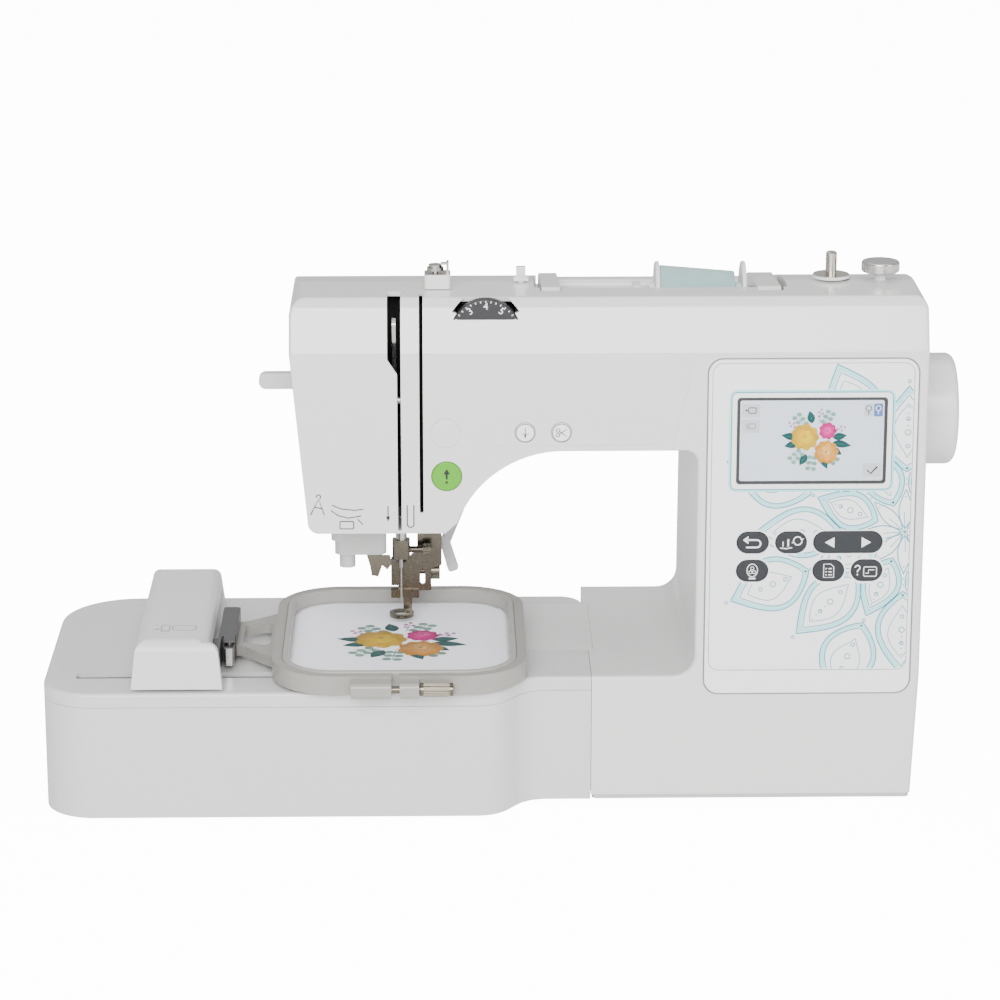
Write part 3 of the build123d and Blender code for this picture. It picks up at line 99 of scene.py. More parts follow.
def moulded_surface():
    """Colour, roughness and fine grain that vary a little over a moulded or machined surface."""
    tree, given, out = shader_group(
        "Moulded surface",
        [
            ("Colour", "Color", (0.8, 0.8, 0.8, 1)),
            ("Shade spread", "Float", 0.04),
            ("Grain per metre", "Float", 2200.0),
            ("Stretch", "Vector", (1, 1, 1)),
            ("Roughness", "Float", 0.3),
            ("Roughness spread", "Float", 0.08),
        ],
        [("Colour", "Color"), ("Roughness", "Float"), ("Height", "Float")],
    )
    place = tree.nodes.new("ShaderNodeTexCoord").outputs["Object"]
    stretched = add(tree, "ShaderNodeVectorMath", {0: place, 1: given.outputs["Stretch"]}, operation="MULTIPLY")
    grain = add(
        tree, "ShaderNodeTexNoise",
        {"Vector": stretched.outputs[0], "Scale": given.outputs["Grain per metre"], "Detail": 2.0},
    )
    patches = add(tree, "ShaderNodeTexNoise", {"Vector": place, "Scale": 22.0, "Detail": 4.0})
    handling = add(tree, "ShaderNodeTexNoise", {"Vector": place, "Scale": 70.0, "Detail": 5.0, "Roughness": 0.65})
    value = sum_of(tree, 1.0, patches.outputs[0], given.outputs["Shade spread"])
    tint = add(tree, "ShaderNodeHueSaturation", {"Color": given.outputs["Colour"], "Value": value})
    rough = sum_of(tree, given.outputs["Roughness"], handling.outputs[0], given.outputs["Roughness spread"])
    tree.links.new(tint.outputs[0], out.inputs["Colour"])
    tree.links.new(rough, out.inputs["Roughness"])
    tree.links.new(grain.outputs[0], out.inputs["Height"])
    return tree


def crossed_threads():
    """Warp and weft of a plain weave, from the piece's own UV map in metres."""
    tree, given, out = shader_group(
        "Crossed threads",
        [("Threads per metre", "Float", 1800.0), ("Colour", "Color", (1, 1, 1, 1)), ("Depth of shade", "Float", 0.2)],
        [("Colour", "Color"), ("Height", "Float")],
    )
    uv = tree.nodes.new("ShaderNodeTexCoord").outputs["UV"]
    across = add(
        tree, "ShaderNodeTexWave", {"Vector": uv, "Scale": given.outputs["Threads per metre"], "Distortion": 0.6},
        bands_direction="X",
    )
    along = add(
        tree, "ShaderNodeTexWave", {"Vector": uv, "Scale": given.outputs["Threads per metre"], "Distortion": 0.6},
        bands_direction="Y",
    )
    both = add(tree, "ShaderNodeMath", {0: across.outputs["Fac"], 1: along.outputs["Fac"]}, operation="MAXIMUM")
    value = sum_of(tree, 1.0, both.outputs[0], given.outputs["Depth of shade"])
    tint = add(tree, "ShaderNodeHueSaturation", {"Color": given.outputs["Colour"], "Value": value})
    tree.links.new(tint.outputs[0], out.inputs["Colour"])
    tree.links.new(both.outputs[0], out.inputs["Height"])
    return tree


def satin_rows():
    """Rows of satin stitches along the UV map's second direction."""
    tree, given, out = shader_group(
        "Satin rows",
        [("Rows", "Float", 10.0), ("Colour", "Color", (1, 1, 1, 1)), ("Depth of shade", "Float", 0.35)],
        [("Colour", "Color"), ("Height", "Float")],
    )
    uv = tree.nodes.new("ShaderNodeTexCoord").outputs["UV"]
    rows = add(
        tree, "ShaderNodeTexWave",
        {"Vector": uv, "Scale": given.outputs["Rows"], "Distortion": 1.2, "Detail": 1.0},
        bands_direction="Y",
    )
    value = sum_of(tree, 1.0, rows.outputs["Fac"], given.outputs["Depth of shade"])
    tint = add(tree, "ShaderNodeHueSaturation", {"Color": given.outputs["Colour"], "Value": value})
    tree.links.new(tint.outputs[0], out.inputs["Colour"])
    tree.links.new(rows.outputs["Fac"], out.inputs["Height"])
    return tree


MOULDED, WEAVE, SATIN = moulded_surface(), crossed_threads(), satin_rows()


def blank_material(name):
    material = bpy.data.materials.new(name)
    material.use_nodes = True
    return material, material.node_tree, material.node_tree.nodes["Principled BSDF"]


def bump(tree, shader, height, depth):
    relief = add(tree, "ShaderNodeBump", {"Height": height, "Strength": 0.6, "Distance": depth})
    tree.links.new(relief.outputs[0], shader.inputs["Normal"])


def moulded(name, colour, roughness, depth=0.02, grain=2200.0, shade=0.04, wear=0.08, stretch=(1, 1, 1), **sockets):
    """A material on the moulded surface group; depth is the grain's height in millimetres."""
    material, tree, shader = blank_material(name)
    surface = add(tree, "ShaderNodeGroup", node_tree=MOULDED)
    values = {
        "Colour": (*colour, 1), "Shade spread": shade, "Grain per metre": grain,
        "Stretch": stretch, "Roughness": roughness, "Roughness spread": wear,
    }
    for key, value in values.items():
        surface.inputs[key].default_value = value
    tree.links.new(surface.outputs["Colour"], shader.inputs["Base Color"])
    tree.links.new(surface.outputs["Roughness"], shader.inputs["Roughness"])
    bump(tree, shader, surface.outputs["Height"], depth * MM)
    for key, value in sockets.items():
        shader.inputs[key.replace("_", " ")].default_value = value
    return material


def two_tone(name, split_z, upper):
    """White plastic below a height and metal above it, for a turned metal part on a moulded foot."""
    material = moulded(name, upper, 0.22, depth=0.006, grain=900, stretch=(1, 1, 6), wear=0.12)
    tree = material.node_tree
    shader = tree.nodes["Principled BSDF"]
    metal = shader.inputs["Base Color"].links[0].from_socket
    place = tree.nodes.new("ShaderNodeTexCoord").outputs["Object"]
    height = add(tree, "ShaderNodeSeparateXYZ", {0: place}).outputs["Z"]
    mask = add(tree, "ShaderNodeMath", {0: height, 1: split_z}, operation="GREATER_THAN").outputs[0]
    mixed = add(tree, "ShaderNodeMix", {0: mask, 6: (0.8, 0.8, 0.79, 1), 7: metal}, data_type="RGBA")
    tree.links.new(mixed.outputs[2], shader.inputs["Base Color"])
    tree.links.new(mask, shader.inputs["Metallic"])
    return material


casing_white = moulded(
    "casing white", (0.72, 0.718, 0.71), 0.24, 0.006, 1500, 0.025, 0.05,
    Coat_Weight=0.35, Coat_Roughness=0.12,
)
unit_white = moulded(
    "unit white", (0.64, 0.64, 0.638), 0.3, 0.008, 1500, 0.03, 0.06,
    Coat_Weight=0.2, Coat_Roughness=0.2,
)
carriage_white = moulded("carriage white", (0.68, 0.68, 0.68), 0.34, 0.01, 1600, 0.03, 0.06)
panel_white = moulded(
    "panel white", (0.93, 0.94, 0.94), 0.16, 0.003, 1200, 0.015, 0.04,
    Coat_Weight=0.5, Coat_Roughness=0.06,
)
base_grey = moulded("base grey", (0.5, 0.5, 0.5), 0.5, 0.04, 1800)
trim_white = moulded("trim white", (0.6, 0.6, 0.59), 0.34, 0.01, 1600, 0.03)
foot_rubber = moulded("foot rubber", (0.035, 0.035, 0.037), 0.75, 0.05, 1500, 0.2)
cast_frame = moulded("cast frame", (0.42, 0.43, 0.44), 0.45, 0.08, 700, 0.12, 0.15, Metallic=1.0)
bright_steel = moulded("bright steel", (0.62, 0.6, 0.57), 0.22, 0.006, 800, 0.06, 0.12, (1, 1, 8), Metallic=1.0)
foot_nickel = moulded("foot nickel", (0.16, 0.143, 0.112), 0.27, 0.01, 900, 0.08, 0.12, Metallic=1.0)
lever_steel = moulded("lever steel", (0.55, 0.54, 0.52), 0.26, 0.01, 900, 0.1, 0.14, (8, 1, 1), Metallic=1.0)
motor_steel = moulded("motor steel", (0.5, 0.5, 0.5), 0.35, 0.02, 900, 0.08, 0.1, Metallic=1.0)
dark_moulding = moulded("dark moulding", (0.02, 0.02, 0.022), 0.42, 0.02, 1700, 0.15, 0.1)
holder_dark = moulded("holder dark", (0.05, 0.05, 0.052), 0.32, 0.02, 1400, 0.15, 0.12)
# Near-black painted shade: it stands for the shade deep inside the thread slots.
slot_painted_shade = moulded("slot painted shade", (0.004, 0.004, 0.004), 0.8, 0.02, 1400, 0.2)
hoop_beige = moulded(
    "hoop beige", (0.3, 0.288, 0.265), 0.3, 0.01, 1500, 0.035, 0.06,
    Coat_Weight=0.15, Coat_Roughness=0.2,
)
hoop_inner_beige = moulded("hoop inner beige", (0.36, 0.35, 0.325), 0.32, 0.01, 1500, 0.035, 0.06)
key_rubber = moulded("key rubber", (0.014, 0.016, 0.02), 0.6, 0.015, 1700, 0.06, 0.06)
start_green = moulded(
    "start green", (0.07, 0.34, 0.0), 0.25, 0.003, 1200, 0.06, 0.04, Coat_Weight=0.2, Coat_Roughness=0.1,
    Emission_Color=(0.2, 0.75, 0.0, 1), Emission_Strength=0.08,
)
spool_white = moulded("spool white", (0.78, 0.79, 0.79), 0.3, 0.006, 1500, 0.03, 0.06, Subsurface_Weight=0.1)
clear_bobbin = moulded("clear bobbin", (0.86, 0.9, 0.92), 0.12, 0.003, 1200, 0.02, 0.04, Alpha=0.5)
screen_black = moulded(
    "screen black", (0.008, 0.008, 0.009), 0.1, 0.002, 900, 0.1, 0.04,
    Coat_Weight=0.6, Coat_Roughness=0.03,
)
screen_lit = moulded(
    "screen lit", (0.6, 0.66, 0.73), 0.14, 0.002, 900, 0.03, 0.04, Coat_Weight=0.5, Coat_Roughness=0.04,
    Emission_Color=(0.6, 0.68, 0.76, 1), Emission_Strength=0.1,
)
screen_key = moulded("screen key", (0.52, 0.55, 0.58), 0.3, 0.002, 900, 0.04)
screen_blue = moulded("screen blue", (0.08, 0.16, 0.42), 0.3, 0.002, 900, 0.04)
print_white = moulded("print white", (0.86, 0.86, 0.86), 0.4, 0.004, 1800, 0.04)
print_black = moulded("print black", (0.012, 0.012, 0.013), 0.4, 0.004, 1800, 0.1)
print_grey = moulded("print grey", (0.05, 0.05, 0.055), 0.45, 0.004, 1800, 0.1)
print_light_grey = moulded("print light grey", (0.2, 0.21, 0.22), 0.45, 0.004, 1800, 0.08)
print_cyan = moulded("print cyan", (0.05, 0.3, 0.37), 0.35, 0.003, 1800, 0.06)
print_pale_cyan = moulded("print pale cyan", (0.42, 0.8, 0.85), 0.35, 0.003, 1800, 0.04)
thread_sage = moulded("thread sage", (0.32, 0.5, 0.48), 0.6, 0.05, 1500, 0.2, 0.1, Sheen_Weight=0.4)
winder_metal = two_tone("winder metal", top + 2.3 * MM, (0.55, 0.52, 0.47))
stop_metal = two_tone("stop metal", top + 3.4 * MM, (0.62, 0.61, 0.6))
guide_metal = two_tone("guide metal", top + 8.1 * MM, (0.42, 0.4, 0.37))


def woven_cotton():
    material, tree, shader = blank_material("woven cotton")
    weave = add(tree, "ShaderNodeGroup", node_tree=WEAVE)
    weave.inputs["Threads per metre"].default_value = 900.0
    weave.inputs["Colour"].default_value = (0.93, 0.94, 1.0, 1)
    weave.inputs["Depth of shade"].default_value = 0.1
    tree.links.new(weave.outputs["Colour"], shader.inputs["Base Color"])
    bump(tree, shader, weave.outputs["Height"], 0.05 * MM)
    shader.inputs["Roughness"].default_value = 0.85
    shader.inputs["Sheen Weight"].default_value = 0.25
    return material


def embroidery_thread(name, rows, glow):
    """Thread whose colour is stored on the piece, in rows of stitches."""
    material, tree, shader = blank_material(name)
    stored = add(tree, "ShaderNodeAttribute", attribute_name="thread")
    value = 0.8 if glow else 0.6
    deep = add(
        tree, "ShaderNodeHueSaturation", {"Color": stored.outputs["Color"], "Saturation": 1.35, "Value": value}
    )
    satin = add(tree, "ShaderNodeGroup", {"Colour": deep.outputs[0]}, node_tree=SATIN)
    satin.inputs["Rows"].default_value = rows
    satin.inputs["Depth of shade"].default_value = 0.4
    tree.links.new(satin.outputs["Colour"], shader.inputs["Base Color"])
    bump(tree, shader, satin.outputs["Height"], 0.12 * MM)
    shader.inputs["Roughness"].default_value = 0.55
    shader.inputs["Sheen Weight"].default_value = 0.05
    if glow:
        tree.links.new(satin.outputs["Colour"], shader.inputs["Emission Color"])
        shader.inputs["Emission Strength"].default_value = glow
    return material


cotton = woven_cotton()
stitched = embroidery_thread("stitched thread", 2.6, 0)
pictured = embroidery_thread("pictured thread", 2.6, 0.1)

node_finish = {
    casing_white: [
        "front_cover", "rear_cover", "top_cover", "free_arm", "handwheel", "carry_handle", "winder_carrier",
    ],
    base_grey: ["base_tray"],
    unit_white: ["unit_lower_case", "unit_top_cover"],
    carriage_white: ["carriage_cover"],
    trim_white: ["threader_lever", "presser_lever"],
    foot_rubber: ["rubber_feet", "unit_feet", "drive_belts"],
    cast_frame: ["arm_frame", "carriage_chassis"],
    bright_steel: [
        "case_screws", "pivot_pins", "upper_shaft", "lower_shaft", "needle_plate", "needle", "presser_bar",
        "needle_bar",
    ],
    foot_nickel: ["embroidery_foot", "needle_clamp", "hoop_screw", "rotary_hook"],
    lever_steel: ["take_up_lever", "hoop_lock_lever"],
    motor_steel: ["main_motor"],
    dark_moulding: ["shaft_pulleys", "motor_pulley", "bobbin_case", "tension_dial", "power_inlet", "power_switch"],
    holder_dark: ["hoop_holder"],
    clear_bobbin: ["bobbin"],
    start_green: ["start_button"],
    panel_white: ["needle_position_button", "thread_cutter_button", "control_panel"],
    key_rubber: ["key_back", "key_foot", "key_arrows", "key_machine", "key_list", "key_help"],
    screen_black: ["display_module"],
    spool_white: ["spool_holder"],
    thread_sage: ["thread_spool"],
    hoop_beige: ["hoop_outer_ring"],
    hoop_inner_beige: ["hoop_inner_ring"],
    cotton: ["hoop_fabric"],
    winder_metal: ["winder_shaft"],
    stop_metal: ["winder_stop"],
    guide_metal: ["thread_guides"],
}
for finish, names in node_finish.items():
    for name in names:
        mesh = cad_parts[name].data
        mesh.materials.clear()
        mesh.materials.append(finish)


# ---------------------------------------------------------------- making pieces
def piece(name, mesh, material, body):
    made = bpy.data.objects.new(name, mesh)
    bpy.context.scene.collection.objects.link(made)
    if material is not None:
        mesh.materials.clear()
        mesh.materials.append(material)
    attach(made, body)
    return made


def from_bmesh(name, shape, material, body, smooth=False):
    bmesh.ops.recalc_face_normals(shape, faces=shape.faces)
    mesh = bpy.data.meshes.new(name)
    shape.to_mesh(mesh)
    shape.free()
    for face in mesh.polygons:
        face.use_smooth = smooth
    return piece(name, mesh, material, body)


def on_front(x, y, z):
    """Sketch millimetres (u to the right, v up, w outwards) on a face that looks forward."""
    return lambda u, v, w: Vector((x + u * MM, y - w * MM, z + v * MM))


def on_top(x, y, z):
    """Sketch millimetres on a face that looks up."""
    return lambda u, v, w: Vector((x + u * MM, y + v * MM, z + w * MM))


def plate(shape, place, points, height=0.06, sunk=0.04):
    """A flat closed plate with this outline."""
    upper = [shape.verts.new(place(u, v, height)) for u, v in points]
    lower = [shape.verts.new(place(u, v, -sunk)) for u, v in points]
    shape.faces.new(upper)
    shape.faces.new(list(reversed(lower)))
    for n in range(len(points)):
        m = (n + 1) % len(points)
        shape.faces.new([upper[n], lower[n], lower[m], upper[m]])


def stroke(shape, place, points, width, closed=False, height=0.06, sunk=0.04):
    """A flat closed line of this width along the points."""
    if len(points) < 2:
        return
    rows = []
    count = len(points)
    for n, (u, v) in enumerate(points):
        before = points[n - 1] if closed or n else points[0]
        after = points[(n + 1) % count] if closed or n < count - 1 else points[-1]
        du, dv = after[0] - before[0], after[1] - before[1]
        size = math.hypot(du, dv) or 1.0
        su, sv = -dv / size * width / 2, du / size * width / 2
        left, right = (u + su, v + sv), (u - su, v - sv)
        corners = [(*left, height), (*right, height), (*right, -sunk), (*left, -sunk)]
        rows.append([shape.verts.new(place(*c)) for c in corners])
    last = count if closed else count - 1
    for n in range(last):
        a, b = rows[n], rows[(n + 1) % count]
        for k in range(4):
            m = (k + 1) % 4
            shape.faces.new([a[k], b[k], b[m], a[m]])
    if not closed:
        shape.faces.new(list(reversed(rows[0])))
        shape.faces.new(rows[-1])


def arc(u, v, radius, start, end, count=24, squash=1.0):
    """Points of an arc; angles in degrees."""
    angles = [math.radians(start + (end - start) * n / count) for n in range(count + 1)]
    return [(u + radius * math.cos(a), v + squash * radius * math.sin(a)) for a in angles]


def ring(u, v, radius, count=28, squash=1.0):
    return arc(u, v, radius, 0, 360, count, squash)[:-1]


def rounded(u, v, width, height, corner, count=6):
    """Outline of a rounded rectangle centred on (u, v)."""
    points = []
    for side, start in ((1, 1), 0), ((-1, 1), 90), ((-1, -1), 180), ((1, -1), 270):
        cu = u + side[0] * (width / 2 - corner)
        cv = v + side[1] * (height / 2 - corner)
        points += arc(cu, cv, corner, start, start + 90, count)
    return points


def petal(u, v, angle, near, far, half, power=0.85, count=18):
    """Closed outline of a pointed petal that points away from (u, v)."""
    c, s = math.cos(math.radians(angle)), math.sin(math.radians(angle))
    side = []
    for n in range(count + 1):
        t = n / count
        side.append((near + (far - near) * t, half * math.sin(math.pi * t ** power)))
    path = side + [(r, -w) for r, w in reversed(side[1:-1])]
    return [(u + r * c - w * s, v + r * s + w * c) for r, w in path]


def printed(name, place, drawing, material, body):
    """A printed mark: drawing is a list of (kind, points, width)."""
    shape = bmesh.new()
    for kind, points, width in drawing:
        if kind == "fill":
            plate(shape, place, points)
        else:
            stroke(shape, place, points, width, kind == "loop")
    return from_bmesh(name, shape, material, body)


# ---------------------------------------------------------------- geometry node trees
def geometry_tree(name, inputs):
    tree = bpy.data.node_groups.new(name, "GeometryNodeTree")
    sockets = {}
    for label, kind in inputs + [("Material", "Material")]:
        item = tree.interface.new_socket(name=label, in_out="INPUT", socket_type="NodeSocket" + kind)
        sockets[label] = item.identifier
    tree.interface.new_socket(name="Geometry", in_out="OUTPUT", socket_type="NodeSocketGeometry")
    return tree, sockets, tree.nodes.new("NodeGroupInput")


def close_tree(tree, given, geometry):
    real = add(tree, "GeometryNodeRealizeInstances", {"Geometry": geometry})
    painted = add(
        tree, "GeometryNodeSetMaterial", {"Geometry": real.outputs[0], "Material": given.outputs["Material"]}
    )
    out = tree.nodes.new("NodeGroupOutput")
    tree.links.new(painted.outputs[0], out.inputs["Geometry"])


def winding_tree():
    """Thread wound on a cone that stands along Z."""
    tree, sockets, given = geometry_tree(
        "Thread winding",
        [
            ("Start radius", "Float"), ("End radius", "Float"), ("Height", "Float"), ("Turns", "Float"),
            ("Thread", "Float"),
        ],
    )
    path = add(
        tree, "GeometryNodeCurveSpiral",
        {
            "Resolution": 22, "Rotations": given.outputs["Turns"], "Start Radius": given.outputs["Start radius"],
            "End Radius": given.outputs["End radius"], "Height": given.outputs["Height"],
        },
    )
    section = add(tree, "GeometryNodeCurvePrimitiveCircle", {"Resolution": 6, "Radius": given.outputs["Thread"]})
    tube = add(
        tree, "GeometryNodeCurveToMesh",
        {"Curve": path.outputs[0], "Profile Curve": section.outputs[0], "Fill Caps": True},
    )
    close_tree(tree, given, tube.outputs[0])
    return tree, sockets


def knurl_tree():
    """Round bars set round a circle, their length along Z, as on a knurled screw head."""
    tree, sockets, given = geometry_tree(
        "Knurled rim", [("Radius", "Float"), ("Length", "Float"), ("Bars", "Int"), ("Bar radius", "Float")]
    )
    circle = add(
        tree, "GeometryNodeMeshCircle", {"Vertices": given.outputs["Bars"], "Radius": given.outputs["Radius"]}
    )
    bar = add(
        tree, "GeometryNodeMeshCylinder",
        {"Vertices": 8, "Radius": given.outputs["Bar radius"], "Depth": given.outputs["Length"]},
    )
    bars = add(
        tree, "GeometryNodeInstanceOnPoints", {"Points": circle.outputs[0], "Instance": bar.outputs[0]}
    )
    close_tree(tree, given, bars.outputs[0])
    return tree, sockets


WINDING, KNURL = winding_tree(), knurl_tree()
ALONG_X = Matrix.Rotation(math.radians(90), 4, "Y")
ALONG_Y = Matrix.Rotation(math.radians(-90), 4, "X")
ALONG_Z = Matrix.Identity(4)


def grown(name, tree_and_sockets, values, material, turn, at, body):
    """Runs a geometry tree, and puts the result in place as a plain mesh."""
    tree, sockets = tree_and_sockets
    carrier = bpy.data.objects.new(name + "_carrier", bpy.data.meshes.new(name + "_carrier"))
    bpy.context.scene.collection.objects.link(carrier)
    modifier = carrier.modifiers.new("grow", "NODES")
    modifier.node_group = tree
    for label, value in values.items():
        modifier[sockets[label]] = value
    modifier[sockets["Material"]] = material
    bpy.context.view_layer.update()
    graph = bpy.context.evaluated_depsgraph_get()
    mesh = bpy.data.meshes.new_from_object(carrier.evaluated_get(graph))
    bpy.data.objects.remove(carrier)
    mesh.name = name
    mesh.transform(Matrix.Translation(at) @ turn)
    return piece(name, mesh, material, body)


# ---------------------------------------------------------------- fabric and its embroidery
def plan_edge(width, depth, corner, angle):
    """Distance from the middle of a rounded rectangle to its edge in a direction."""
    c, s = abs(math.cos(angle)), abs(math.sin(angle))
    reach = min(width / 2 / max(c, 1e-9), depth / 2 / max(s, 1e-9))
    u, v = reach * c, reach * s
    cu, cv = width / 2 - corner, depth / 2 - corner
    if u > cu and v > cv:
        along = cu * c + cv * s
        reach = along + math.sqrt(max(along * along - (cu * cu + cv * cv - corner * corner), 0))
    return reach


def stretched_fabric():
    """Cotton held taut, with a slight dip in the middle and soft pulls towards the corners."""
    width = (fabric_high.x - fabric_low.x) / MM
    depth = (fabric_high.y - fabric_low.y) / MM
    corner = 26.0
    rings, spokes, thick = 26, 144, 0.5
    shape = bmesh.new()
    uv = shape.loops.layers.uv.new("weave")
    rows = []
    place = on_top(fabric_mid.x, fabric_mid.y, fabric_high.z)

    def spot(share, angle):
        reach = plan_edge(width, depth, corner, angle) * share
        pull = 0.05 * math.sin(8 * angle) * share ** 3 * (1 - share) * 4
        dip = -0.12 * (1 - share * share)
        return reach * math.cos(angle), reach * math.sin(angle), dip + pull

    hub = shape.verts.new(place(*spot(0, 0)))
    for r in range(1, rings + 1):
        rows.append([shape.verts.new(place(*spot(r / rings, TURN * k / spokes))) for k in range(spokes)])
    for k in range(spokes):
        m = (k + 1) % spokes
        shape.faces.new([hub, rows[0][k], rows[0][m]])
        for r in range(rings - 1):
            shape.faces.new([rows[r][k], rows[r + 1][k], rows[r + 1][m], rows[r][m]])
    for face in shape.faces:
        for loop in face.loops:
            loop[uv].uv = (loop.vert.co.x, loop.vert.co.y)
    made = from_bmesh("hooped_cotton", shape, cotton, "hoop", True)
    wall = made.modifiers.new("thickness", "SOLIDIFY")
    wall.thickness = thick * MM
    wall.offset = -1
    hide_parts("hoop_fabric")


GOLD, ROSE, PEACH = (0.86, 0.55, 0.12), (0.72, 0.16, 0.36), (0.88, 0.5, 0.24)
SAGE, PINE, PLUM = (0.3, 0.47, 0.4), (0.01, 0.09, 0.09), (0.3, 0.12, 0.28)


class Bouquet:
    """A round bunch of three roses with leaves, as raised stitched shapes."""

    def __init__(self, place, scale, rise):
        self.shape = bmesh.new()
        self.colour = self.shape.loops.layers.float_color.new("thread")
        self.uv = self.shape.loops.layers.uv.new("stitch")
        self.place, self.scale, self.rise = place, scale, rise
        self.chance = random.Random(7)

    def stitch(self, outline, base, height, colour):
        """A low dome over the outline, with rows of stitches across it."""
        k = self.scale
        mid_u = sum(p[0] for p in outline) / len(outline)
        mid_v = sum(p[1] for p in outline) / len(outline)
        levels = ((1.0, base - 0.25), (1.0, base + height * 0.25), (0.72, base + height * 0.85))
        rows = []
        for share, level in levels:
            row = []
            for u, v in outline:
                pu, pv = mid_u + (u - mid_u) * share, mid_v + (v - mid_v) * share
                row.append(self.shape.verts.new(self.place(pu * k, pv * k, level * self.rise)))
            rows.append(row)
        peak = self.shape.verts.new(self.place(mid_u * k, mid_v * k, (base + height) * self.rise))
        tone = 1 + self.chance.uniform(-0.12, 0.12)
        paint = (*(min(c * tone, 1) for c in colour), 1)
        turn = math.atan2(mid_v, mid_u + 0.001)
        faces = []
        count = len(outline)
        for n in range(count):
            m = (n + 1) % count
            faces.append([rows[0][n], rows[0][m], rows[1][m], rows[1][n]])
            faces.append([rows[1][n], rows[1][m], rows[2][m], rows[2][n]])
            faces.append([rows[2][n], rows[2][m], peak])
        made = [self.shape.faces.new(f) for f in faces]
        made.append(self.shape.faces.new(list(reversed(rows[0]))))
        for face in made:
            for loop in face.loops:
                loop[self.colour] = paint
                offset = loop.vert.co - self.place(0, 0, 0)
                u, v = offset.x / MM, (offset.z + offset.y) / MM
                loop[self.uv].uv = (
                    u * math.cos(turn) + v * math.sin(turn), v * math.cos(turn) - u * math.sin(turn),
                )

    def rose(self, u, v, radius, colour):
        rings = ((0.62, 0.56, 9, 0.3), (0.45, 0.5, 7, 0.55), (0.28, 0.42, 6, 0.8), (0.12, 0.3, 4, 1.0))
        for step, (reach, size, count, base) in enumerate(rings):
            for n in range(count):
                angle = 360 * n / count + step * 27 + self.chance.uniform(-6, 6)
                a = math.radians(angle)
                cu, cv = u + radius * reach * math.cos(a), v + radius * reach * math.sin(a)
                light = 0.86 + 0.1 * step + self.chance.uniform(-0.06, 0.06)
                shade = tuple(min(c * light + 0.035 * step, 1) for c in colour)
                half_length, half_width = radius * size * 0.62, radius * size * 0.5
                leaf = petal(cu, cv, angle + 90, -half_length, half_length, half_width, 1.0, 9)
                self.stitch(leaf, base + 0.02 * n, 0.3, shade)
        self.stitch(ring(u, v, radius * 0.1, 10), 1.25, 0.2, tuple(c * 0.8 for c in colour))

    def leaf(self, u, v, angle, length, half, colour):
        self.stitch(petal(u, v, angle, 0, length, half, 0.8, 9), 0.05, 0.3, colour)
        vein = petal(u, v, angle, length * 0.1, length * 0.85, half * 0.07, 1.0, 6)
        self.stitch(vein, 0.32, 0.12, tuple(min(c * 1.7 + 0.05, 1) for c in colour))

    def sprig(self, u, v, angle, length, pairs):
        """A thin stem with round leaves in pairs."""
        self.stitch(petal(u, v, angle, 0, length, 0.4, 1.0, 8), 0.02, 0.15, SAGE)
        for n in range(pairs):
            reach = length * (0.35 + 0.6 * n / max(pairs - 1, 1))
            a = math.radians(angle)
            for side in (-1, 1):
                cu = u + reach * math.cos(a) - side * 3.0 * math.sin(a)
                cv = v + reach * math.sin(a) + side * 3.0 * math.cos(a)
                self.stitch(ring(cu, cv, 2.7, 10, 0.85), 0.04 + 0.02 * n, 0.26, SAGE)

    def berries(self, u, v, angle, length):
        self.stitch(petal(u, v, angle, 0, length, 0.3, 1.0, 8), 0.02, 0.15, PLUM)
        for reach, side in ((1.0, 0), (0.8, 2.2), (0.75, -2.2), (0.55, 1.6)):
            a = math.radians(angle)
            cu = u + length * reach * math.cos(a) - side * math.sin(a)
            cv = v + length * reach * math.sin(a) + side * math.cos(a)
            self.stitch(ring(cu, cv, 1.25, 8), 0.1, 0.35, tuple(min(c * 1.6 + 0.1, 1) for c in PLUM))

    def draw(self):
        for angle, reach in ((128, 21), (62, 22), (222, 22), (262, 20), (312, 20)):
            a = math.radians(angle)
            self.sprig(reach * 0.62 * math.cos(a), reach * 0.62 * math.sin(a), angle, 20, 3)
        for angle, length in ((172, 18), (192, 15), (102, 14), (350, 20), (8, 15), (240, 14), (292, 16), (330, 14)):
            a = math.radians(angle)
            self.leaf(18 * math.cos(a), 18 * math.sin(a), angle, length, 4.0, PINE)
        for angle in (80, 24, 146):
            a = math.radians(angle)
            self.berries(16 * math.cos(a), 16 * math.sin(a), angle, 17)
        self.rose(11.5, -13.5, 14.5, PEACH)
        self.rose(12.5, 9.5, 10.5, ROSE)
        self.rose(-11.0, 3.0, 16.5, GOLD)
        return self.shape


stretched_fabric()
bunch = Bouquet(on_top(fabric_mid.x, fabric_mid.y, fabric_high.z - 0.05 * MM), 1.0, 0.75).draw()
from_bmesh("embroidered_bouquet", bunch, stitched, "hoop", True)


# ---------------------------------------------------------------- screen
display = on_front(screen.x, front + 0.4 * MM, screen.z)
shape = bmesh.new()
plate(shape, display, rounded(0, 0, screen_size[0] - 3.6, screen_size[1] - 3.6, 1.2), 0.08)
from_bmesh("lit_screen", shape, screen_lit, "machine")
picture = on_front(screen.x + 2.0 * MM, front + 0.32 * MM, screen.z + 0.5 * MM)
from_bmesh("pictured_bouquet", Bouquet(picture, 0.52, 0.1).draw(), pictured, "machine", True)
touch = on_front(screen.x, front + 0.32 * MM, screen.z)
touch_keys = [
    ("fill", rounded(-33, 17, 9.6, 7.2, 1), 0), ("fill", rounded(-33, 8.2, 9.6, 7.2, 1), 0),
    ("fill", rounded(33, -16.5, 10, 7.4, 1), 0), ("fill", rounded(30.4, 17, 4.8, 7.2, 0.8), 0),
]
printed("screen_keys", touch, touch_keys, screen_key, "machine")
blue_key = [("fill", rounded(35.6, 17, 4.8, 7.2, 0.8), 0)]
printed("screen_blue_key", touch, blue_key, screen_blue, "machine")
over = on_front(screen.x, front + 0.26 * MM, screen.z)
